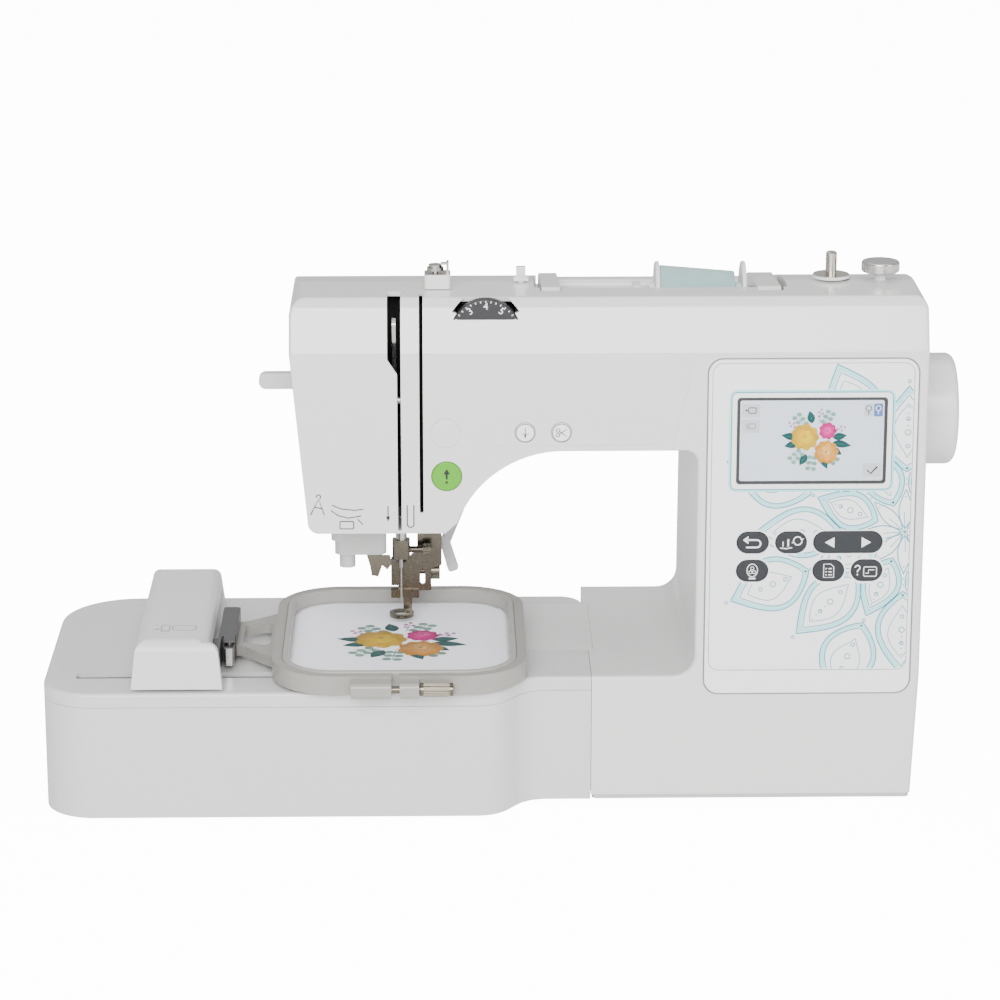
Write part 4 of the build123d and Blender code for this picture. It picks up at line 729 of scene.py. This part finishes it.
marks = [
    ("loop", rounded(-32.4, 17, 4, 3, 0.5), 0.45), ("line", [(-36, 17), (-35, 17)], 0.9),
    ("loop", ring(30.4, 18, 1.5, 16), 0.4), ("line", [(30.4, 16.4), (30.4, 14.4)], 0.5),
    ("line", [(30.4, -16.6), (32.3, -18.6), (36, -14.6)], 0.8),
]
printed("screen_marks", over, marks, print_black, "machine")
faint = [("loop", rounded(-32.4, 8.2, 3.6, 2.8, 0.5), 0.4), ("line", [(-35.6, 9.6), (-34.6, 6.8)], 0.4)]
printed("screen_faint_marks", over, faint, print_light_grey, "machine")
light = [("loop", ring(35.6, 18, 1.4, 16), 0.4), ("line", [(35.6, 16.4), (35.6, 14.6)], 0.5)]
printed("screen_light_marks", over, light, print_white, "machine")


# ---------------------------------------------------------------- panel printing
overlay_rise = 5.65  # the overlay's middle above the panel's, mm
overlay = on_front(panel_mid.x, overlay_y, panel_mid.z + overlay_rise * MM)
overlay_size = (109.2, 174.3)
overlay_corner = 6.0
screen_clear = (44.6, 28.4)  # half sizes of the part of the overlay that the screen takes
key_clear = 1.0
PRINT_SUNK = 0.03


def to_overlay(point):
    return (point.x - panel_mid.x) / MM, (point.z - panel_mid.z) / MM - overlay_rise


screen_u, screen_v = to_overlay(screen)
KEYS = ["key_back", "key_foot", "key_arrows", "key_machine", "key_list", "key_help"]
key_boxes = []
for key in KEYS:
    low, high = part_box(key)
    key_boxes.append((*to_overlay(low), *to_overlay(high)))


def printable(u, v):
    """True where the overlay has neither a key, the screen nor its own edge."""
    margin = 0.5
    half_u, half_v = overlay_size[0] / 2, overlay_size[1] / 2
    if abs(u) > half_u - margin or abs(v) > half_v - margin:
        return False
    corner_u, corner_v = half_u - overlay_corner, half_v - overlay_corner
    if abs(u) > corner_u and abs(v) > corner_v:
        if math.hypot(abs(u) - corner_u, abs(v) - corner_v) > overlay_corner - margin:
            return False
    if abs(u - screen_u) < screen_clear[0] and abs(v - screen_v) < screen_clear[1]:
        return False
    for low_u, low_v, high_u, high_v in key_boxes:
        r = (high_v - low_v) / 2
        nearest = min(max(u, low_u + r), high_u - r)
        if math.hypot(u - nearest, v - (low_v + high_v) / 2) < r + key_clear:
            return False
    return True


def dense(points, closed, step=0.8):
    """The same line with points no further apart than the step."""
    made = []
    count = len(points) if closed else len(points) - 1
    for n in range(count):
        (u0, v0), (u1, v1) = points[n], points[(n + 1) % len(points)]
        parts = max(1, int(math.hypot(u1 - u0, v1 - v0) / step))
        made += [(u0 + (u1 - u0) * k / parts, v0 + (v1 - v0) * k / parts) for k in range(parts)]
    made.append(points[0] if closed else points[-1])
    return made


# thousandths of a millimetre, so that no two crossing lines lie in one plane
print_levels = itertools.cycle([*range(1, 12), 0])


def clipped_stroke(shape, points, width, closed, height):
    """The stretches of a line that may be printed."""
    height += 0.001 * next(print_levels)
    line = dense(points, closed)
    if closed and all(printable(u, v) for u, v in line):
        stroke(shape, overlay, line[:-1], width, True, height, PRINT_SUNK)
        return
    run = []
    for u, v in line + [(1e6, 1e6)]:
        if printable(u, v):
            run.append((u, v))
        else:
            if len(run) > 2:
                stroke(shape, overlay, run, width, False, height, PRINT_SUNK)
            run = []


def flower_lines():
    """Rings of plain petals round a point on the overlay's right edge: lines, pale bands and dots."""
    hub_u, hub_v = overlay_size[0] / 2 - 3, -8.0
    line_height, band_height = 0.04, 0.015
    lines, bands = bmesh.new(), bmesh.new()

    def petal_line(shape, angle, sizes, width, height=line_height):
        clipped_stroke(shape, petal(hub_u, hub_v, angle, *sizes), width, True, height)

    def away(reach, angle):
        a = math.radians(angle)
        return hub_u + reach * math.cos(a), hub_v + reach * math.sin(a)

    for n in range(8):
        petal_line(lines, 45 * n, (2, 24, 3.6), 0.6)
        midrib = [(hub_u, hub_v), petal(hub_u, hub_v, 45 * n, 2, 15, 1)[13]]
        clipped_stroke(lines, midrib, 0.4, False, line_height)
    rings = (
        (8, 22.5, 16, 52, 11.0, 22, 44, 5.4),
        (8, 0, 34, 82, 14.5, 42, 72, 7.6),
        (8, 22.5, 56, 102, 15.5, 66, 92, 8.0),
    )
    for count, turn, near, far, half, inner, outer, slim in rings:
        for n in range(count):
            angle = turn + 360 * n / count
            petal_line(bands, angle, (near + 1.2, far - 1.8, half - 1.3), 2.6, band_height)
            petal_line(lines, angle, (near, far, half), 0.6)
            petal_line(lines, angle, (near + 3.4, far - 5.0, half - 2.7), 0.5)
            petal_line(lines, angle, (inner, outer, slim, 1.15), 0.4)
            clipped_stroke(lines, ring(*away(far + 2.6, angle), 0.8, 10), 0.5, True, line_height)
            for share, size in ((0.3, 1.0), (0.46, 1.5), (0.62, 1.0)):
                bubble = ring(*away(near + share * (far - near), angle), size, 14)
                clipped_stroke(lines, bubble, 0.5, True, line_height)
            for k in range(4):
                dot = away(near + 4 + 3.4 * k, angle + 180 / count)
                if printable(*dot):
                    plate(lines, overlay, ring(*dot, 0.42, 8), 0.03, PRINT_SUNK)
    return lines, bands


petal_lines, petal_bands = flower_lines()
frame_line = rounded(screen_u, screen_v, 87.0, 54.4, 3.0)
stroke(petal_lines, overlay, frame_line, 0.55, True, 0.03, PRINT_SUNK)
from_bmesh("panel_flower_lines", petal_lines, print_cyan, "machine")
frame_band = rounded(screen_u, screen_v, 88.6, 56.0, 3.6)
stroke(petal_bands, overlay, frame_band, 1.1, True, 0.015, PRINT_SUNK)
from_bmesh("panel_flower_bands", petal_bands, print_pale_cyan, "machine")
edge = [("loop", rounded(0, 0, overlay_size[0] - 0.5, overlay_size[1] - 0.5, 5.6), 0.3)]
printed("panel_edge_line", overlay, edge, print_light_grey, "machine")
rim = on_front(panel_mid.x, front - 0.02 * MM, panel_mid.z)
gap = [("loop", rounded(0, 0, 114.0, 190.3, 8.2), 0.55)]
printed("panel_gap_line", rim, gap, print_light_grey, "machine")


# ---------------------------------------------------------------- icons on keys and buttons
icons = {
    "key_back": [
        ("line", [(-3.0, 1.6), (2.2, 1.6)] + arc(2.2, -0.5, 2.1, 90, -90, 10) + [(-3.6, -2.6)], 0.95),
        ("fill", [(-5.4, 1.6), (-2.4, 3.9), (-2.4, -0.7)], 0),
    ],
    "key_foot": [
        ("line", [(-4.4, 0.6), (-4.4, -2.2)], 0.6), ("line", [(-1.6, 2.0), (-1.6, -2.2)], 1.0),
        ("line", [(-6.0, -3.0), (-2.6, -3.4), (0.6, -2.8)], 0.6),
        ("line", arc(3.6, 1.0, 2.3, 40, 190, 12), 0.7), ("line", arc(3.6, 1.0, 2.3, 220, 370, 12), 0.7),
        ("fill", [(1.4, 1.2), (0.2, -0.2), (2.4, -0.4)], 0), ("fill", [(5.8, 0.8), (4.8, 2.2), (7.0, 2.4)], 0),
    ],
    "key_arrows": [
        ("fill", [(-12.6, 0), (-7.4, 3.0), (-7.4, -3.0)], 0), ("fill", [(12.6, 0), (7.4, -3.0), (7.4, 3.0)], 0),
    ],
    "key_machine": [
        ("loop", ring(0, 0.4, 2.9, 20, 1.25), 0.5), ("line", [(-1.8, -4.2), (1.8, -4.2)], 0.9),
        ("loop", ring(0, 1.6, 0.9, 10), 0.4), ("loop", ring(-0.9, -0.6, 0.9, 10), 0.4),
        ("loop", ring(1.0, -0.6, 0.9, 10), 0.4),
    ],
    "key_list": [
        ("loop", [(-2.6, 3.8), (1.2, 3.8), (2.9, 2.2), (2.9, -3.8), (-2.6, -3.8)], 0.5),
        ("line", [(-1.6, 1.2), (-0.8, 1.2)], 0.6), ("line", [(0.0, 1.2), (1.9, 1.2)], 0.6),
        ("line", [(-1.6, -0.6), (-0.8, -0.6)], 0.6), ("line", [(0.0, -0.6), (1.9, -0.6)], 0.6),
        ("line", [(-1.6, -2.3), (-0.8, -2.3)], 0.6), ("line", [(0.0, -2.3), (1.9, -2.3)], 0.6),
    ],
    "key_help": [
        ("line", arc(-5.0, 1.6, 1.3, 180, -60, 12) + [(-5.0, -0.3), (-5.0, -1.0)], 0.75),
        ("fill", ring(-5.0, -2.3, 0.5, 8), 0),
        ("loop", rounded(1.9, -0.6, 7.0, 5.4, 0.9), 0.5),
        ("line", [(-0.6, -1.6), (1.0, -1.6), (1.0, 0.4), (4.2, 0.4)], 0.5),
    ],
    "start_button": [
        ("fill", [(0, 4.2), (-1.9, 1.2), (1.9, 1.2)], 0), ("line", [(0, 1.4), (0, -1.6)], 1.1),
        ("fill", ring(0, -3.3, 0.75, 10), 0),
    ],
    "needle_position_button": [
        ("line", [(0, 2.9), (0, -1.4)], 0.42), ("line", [(-2.1, -0.6), (2.1, -0.6)], 0.4),
        ("fill", [(-0.7, -1.2), (0.7, -1.2), (0, -3.2)], 0),
    ],
    "thread_cutter_button": [
        ("loop", ring(-1.9, 1.3, 0.95, 12), 0.42), ("loop", ring(-1.9, -1.3, 0.95, 12), 0.42),
        ("line", [(-1.1, 0.8), (2.7, -1.9)], 0.42), ("line", [(-1.1, -0.8), (2.7, 1.9)], 0.42),
    ],
}
for key, drawing in icons.items():
    low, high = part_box(key)
    face = on_front((low.x + high.x) / 2, low.y, (low.z + high.z) / 2)
    ink = print_white if key in KEYS else print_black
    printed(key + "_icon", face, drawing, ink, key)
for key in ("needle_position_button", "thread_cutter_button"):
    spot = centre(key)
    ring_place = on_front(spot.x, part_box(key)[0].y, spot.z)
    printed(key + "_rim", ring_place, [("loop", ring(0, 0, 4.9, 32), 0.4)], print_grey, key)


# ---------------------------------------------------------------- printing on the head, carriage and top
head = on_front(needle.x, front + 0.78 * MM, head_low)
threading_path = [
    ("line", [(-48, 11), (-43.5, 20), (-40.5, 11)], 0.65), ("line", [(-45.6, 15.4), (-41.8, 14.6)], 0.6),
    ("line", arc(-43.6, 21.2, 1.2, -60, 200, 10), 0.6),
    ("line", [(-37, 13.6), (-33, 10.6), (-27.5, 9.2), (-20.6, 10.4)], 0.6),
    ("line", [(-36.4, 16.6), (-31.5, 14.4), (-24, 13.6), (-19.4, 14.2)], 0.6),
    ("loop", rounded(-28.4, 5.2, 7.4, 4.2, 0.6), 0.6), ("line", [(-22.6, 8.6), (-19.6, 5.4)], 0.6),
    ("line", [(4.4, 16.4), (4.4, 5.6)] + arc(6.2, 5.6, 1.8, 180, 360, 8) + [(8.0, 16.4)], 0.65),
    ("line", [(-6.0, 16), (-6.0, 8.2)], 0.65), ("fill", [(-7.2, 10), (-4.8, 10), (-6.0, 7.0)], 0),
]
printed("threading_path_print", head, threading_path, print_grey, "machine")
carriage_low, carriage_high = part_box("carriage_cover")
carriage_face = on_top((carriage_low.x + carriage_high.x) / 2 - 1 * MM, carriage_low.y + 27 * MM, carriage_high.z)
hoop_mark = [
    ("loop", rounded(4.2, 0, 13, 8.4, 3), 0.5), ("loop", rounded(-6.0, 0, 4.4, 9.4, 0.6), 0.5),
    ("line", [(-13, -3.6), (-9.6, -1.6)], 0.5), ("fill", [(-9.0, -1.2), (-11.2, -1.4), (-10.2, -3.0)], 0),
    ("line", [(-8.6, -6.2), (-3.4, -6.2)], 0.5),
]
printed("carriage_hoop_print", carriage_face, hoop_mark, print_light_grey, "carriage")


# ---------------------------------------------------------------- thread tension dial
def dial_numbers():
    low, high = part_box("tension_dial")
    mid = (low + high) / 2
    radius = (high.x - low.x) / 2 - 3.9 * MM
    shape = bmesh.new()
    for number in range(10):
        letter = bpy.data.curves.new(f"number_{number}", "FONT")
        letter.body = str(number)
        letter.size = 5.4 * MM
        letter.align_x = "CENTER"
        letter.align_y = "CENTER"
        letter.extrude = 0.04 * MM
        carrier = bpy.data.objects.new(letter.name, letter)
        bpy.context.scene.collection.objects.link(carrier)
        bpy.context.view_layer.update()
        graph = bpy.context.evaluated_depsgraph_get()
        mesh = bpy.data.meshes.new_from_object(carrier.evaluated_get(graph))
        bpy.data.objects.remove(carrier)
        angle = math.radians(-34 * (number - 4))
        spin = Matrix.Translation(Vector((mid.x, low.y, mid.z))) @ Matrix.Rotation(-angle, 4, "Y")
        stand = Matrix.Translation((0, 0, radius)) @ Matrix.Rotation(math.radians(90), 4, "X")
        mesh.transform(spin @ stand)
        shape.from_mesh(mesh)
    face = on_front(mid.x, low.y, mid.z)
    for n in range(40):
        a = TURN * n / 40
        c, s = math.sin(a), math.cos(a)
        stroke(shape, face, [(17.2 * c, 17.2 * s), (18.2 * c, 18.2 * s)], 0.5)
    from_bmesh("tension_dial_numbers", shape, print_white, "dial")


dial_numbers()
dial_mid = centre("tension_dial")
grown(
    "tension_dial_grips", KNURL,
    {"Radius": 18.9 * MM, "Length": 5.0 * MM, "Bars": 72, "Bar radius": 0.32 * MM},
    dark_moulding, ALONG_Y, dial_mid, "dial",
)

# ---------------------------------------------------------------- spool, screws and winder
spool_low, spool_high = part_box("thread_spool")
spool_mid = (spool_low + spool_high) / 2
spool_span = spool_high.x - spool_low.x
grown(
    "wound_thread", WINDING,
    {
        "Start radius": 14.7 * MM, "End radius": 11.3 * MM, "Height": spool_span - 1.2 * MM, "Turns": 74.0,
        "Thread": 0.3 * MM,
    },
    thread_sage, ALONG_X, Vector((spool_low.x + 0.6 * MM, spool_mid.y, spool_mid.z)), "spool",
)
screw_low, screw_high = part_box("hoop_screw")
screw_mid = (screw_low + screw_high) / 2
grown(
    "hoop_screw_knurl", KNURL,
    {"Radius": 3.5 * MM, "Length": 14.0 * MM, "Bars": 22, "Bar radius": 0.3 * MM},
    foot_nickel, ALONG_X, Vector((screw_high.x - 9.1 * MM, screw_mid.y, screw_mid.z)), "hoop_screw",
)
clamp_low, clamp_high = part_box("needle_clamp")
grown(
    "needle_clamp_knurl", KNURL,
    {"Radius": 3.1 * MM, "Length": 4.4 * MM, "Bars": 20, "Bar radius": 0.26 * MM},
    foot_nickel, ALONG_X, Vector((clamp_high.x - 2.5 * MM, needle.y, clamp_low.z + 5.0 * MM)), "needle_bar",
)
stop_low, stop_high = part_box("winder_stop")
stop_mid = (stop_low + stop_high) / 2
grown(
    "winder_stop_knurl", KNURL,
    {"Radius": 10.25 * MM, "Length": 3.8 * MM, "Bars": 60, "Bar radius": 0.3 * MM},
    bright_steel, ALONG_Z, Vector((stop_mid.x, stop_mid.y, stop_high.z - 3.0 * MM)), "machine",
)


# ---------------------------------------------------------------- channels behind the thread slots
def channel(shape, x0, x1, y1, z0, z1, near, wall=0.8):
    """A trough behind a slot, open to the front, drawn near-black as painted shade for the slot's depth; sizes in
    millimetres, x from the needle, y from the front.
    """
    low, high = near
    sides = (
        (x0 - wall, x0, low, high, y1),
        (x1, x1 + wall, low, high, y1),
        (x0 - wall, x1 + wall, y1, y1, y1 + wall),
    )
    for u0, u1, low_w, high_w, rear_w in sides:
        corners = [
            shape.verts.new((needle.x + u * MM, front + w * MM, z * MM))
            for z, near_w in ((z0, low_w), (z1, high_w))
            for u, w in ((u0, near_w), (u1, near_w), (u1, rear_w), (u0, rear_w))
        ]
        for face in ((0, 1, 2, 3), (7, 6, 5, 4), (0, 4, 5, 1), (1, 5, 6, 2), (2, 6, 7, 3), (3, 7, 4, 0)):
            shape.faces.new([corners[k] for k in face])


shape = bmesh.new()
band = top / MM - 27.7
upright, leaning = (2.8, 2.8), (2.8, 14.0)
for left, right, rear, low in ((-6.6, 2.6, 44.0, 2.8), (10.3, 14.3, 22.0, 9.0)):
    channel(shape, left, right, rear, head_low / MM + low, band, upright)
    channel(shape, left, right, rear, band, top / MM - 6, leaning)
# The channels' near-black colour is painted shade, standing for the shade deep inside the slots.
from_bmesh("thread_slot_channels", shape, slot_painted_shade, "machine")

# ---------------------------------------------------------------- needle threader's metal hook
threader_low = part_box("threader_lever")[0]
shape = bmesh.new()
hook_place = on_front(needle.x - 13 * MM, needle.y - 26.2 * MM, threader_low.z)
hook = [(-6, 9), (7, 9), (8, 4), (5.4, 0.5), (2.6, 3.2), (0.4, -3.4), (-3.4, -2.8), (-4.2, 2.4)]
plate(shape, hook_place, hook, 0.8, 0.8)
from_bmesh("threader_hook", shape, foot_nickel, "threader")

# ---------------------------------------------------------------- floor, light and camera
floor_mesh = bpy.data.meshes.new("floor")
reach = 6.0
floor_corners = [(-reach, -reach, 0), (reach, -reach, 0), (reach, reach, 0), (-reach, reach, 0)]
floor_mesh.from_pydata(floor_corners, [], [(0, 1, 2, 3)])
floor = bpy.data.objects.new("floor", floor_mesh)
bpy.context.scene.collection.objects.link(floor)
FLOOR_GLOW, SKY_LIGHT = 13.0, 0.68  # the glow is for the camera only and lights nothing
backdrop = moulded("pale floor", (0.95, 0.95, 0.95), 0.7, 0.02, 600, 0.01, 0.05, Emission_Color=(1, 1, 1, 1))
floor_tree = backdrop.node_tree
floor_seen = add(floor_tree, "ShaderNodeLightPath").outputs["Is Camera Ray"]
glow = add(floor_tree, "ShaderNodeMath", {0: floor_seen, 1: FLOOR_GLOW}, operation="MULTIPLY")
floor_tree.links.new(glow.outputs[0], floor_tree.nodes["Principled BSDF"].inputs["Emission Strength"])
floor_mesh.materials.append(backdrop)


def soft_light(name, place, aim, size, power):
    lamp = bpy.data.lights.new(name, "AREA")
    lamp.shape = "RECTANGLE"
    lamp.size, lamp.size_y = size
    lamp.energy = power
    made = bpy.data.objects.new(name, lamp)
    made.location = place
    made.rotation_mode = "QUATERNION"
    made.rotation_quaternion = (Vector(aim) - Vector(place)).to_track_quat("-Z", "Y")
    bpy.context.scene.collection.objects.link(made)


soft_light("key_light", (-0.35, -2.35, 1.45), (0, 0, 0.16), (1.9, 1.3), 112)
soft_light("fill_light", (1.9, -1.3, 0.8), (0, 0, 0.12), (1.1, 1.0), 18)
soft_light("top_light", (0.0, 0.5, 1.9), (0, 0, 0.1), (1.8, 1.0), 12)
world = bpy.data.worlds.new("studio")
world.use_nodes = True
world.node_tree.nodes["Background"].inputs["Color"].default_value = (1.0, 1.0, 1.0, 1)
sky_seen = add(world.node_tree, "ShaderNodeLightPath").outputs["Is Camera Ray"]
sky = add(world.node_tree, "ShaderNodeMath", {0: sky_seen, 1: FLOOR_GLOW, 2: SKY_LIGHT}, operation="MULTIPLY_ADD")
world.node_tree.links.new(sky.outputs[0], world.node_tree.nodes["Background"].inputs["Strength"])
bpy.context.scene.world = world

camera_data = bpy.data.cameras.new("camera")
camera_data.sensor_width = 36.0
camera_data.lens = 130.0
camera = bpy.data.objects.new("camera", camera_data)
bpy.context.scene.collection.objects.link(camera)
camera.location = (needle.x + 22.6 * MM, front - 1876.4 * MM, 0.7267)
down, aside = 0.2856, 0.0171
look = Vector((math.sin(aside) * math.cos(down), math.cos(aside) * math.cos(down), -math.sin(down)))
camera.rotation_mode = "QUATERNION"
camera.rotation_quaternion = look.to_track_quat("-Z", "Y")
bpy.context.scene.camera = camera
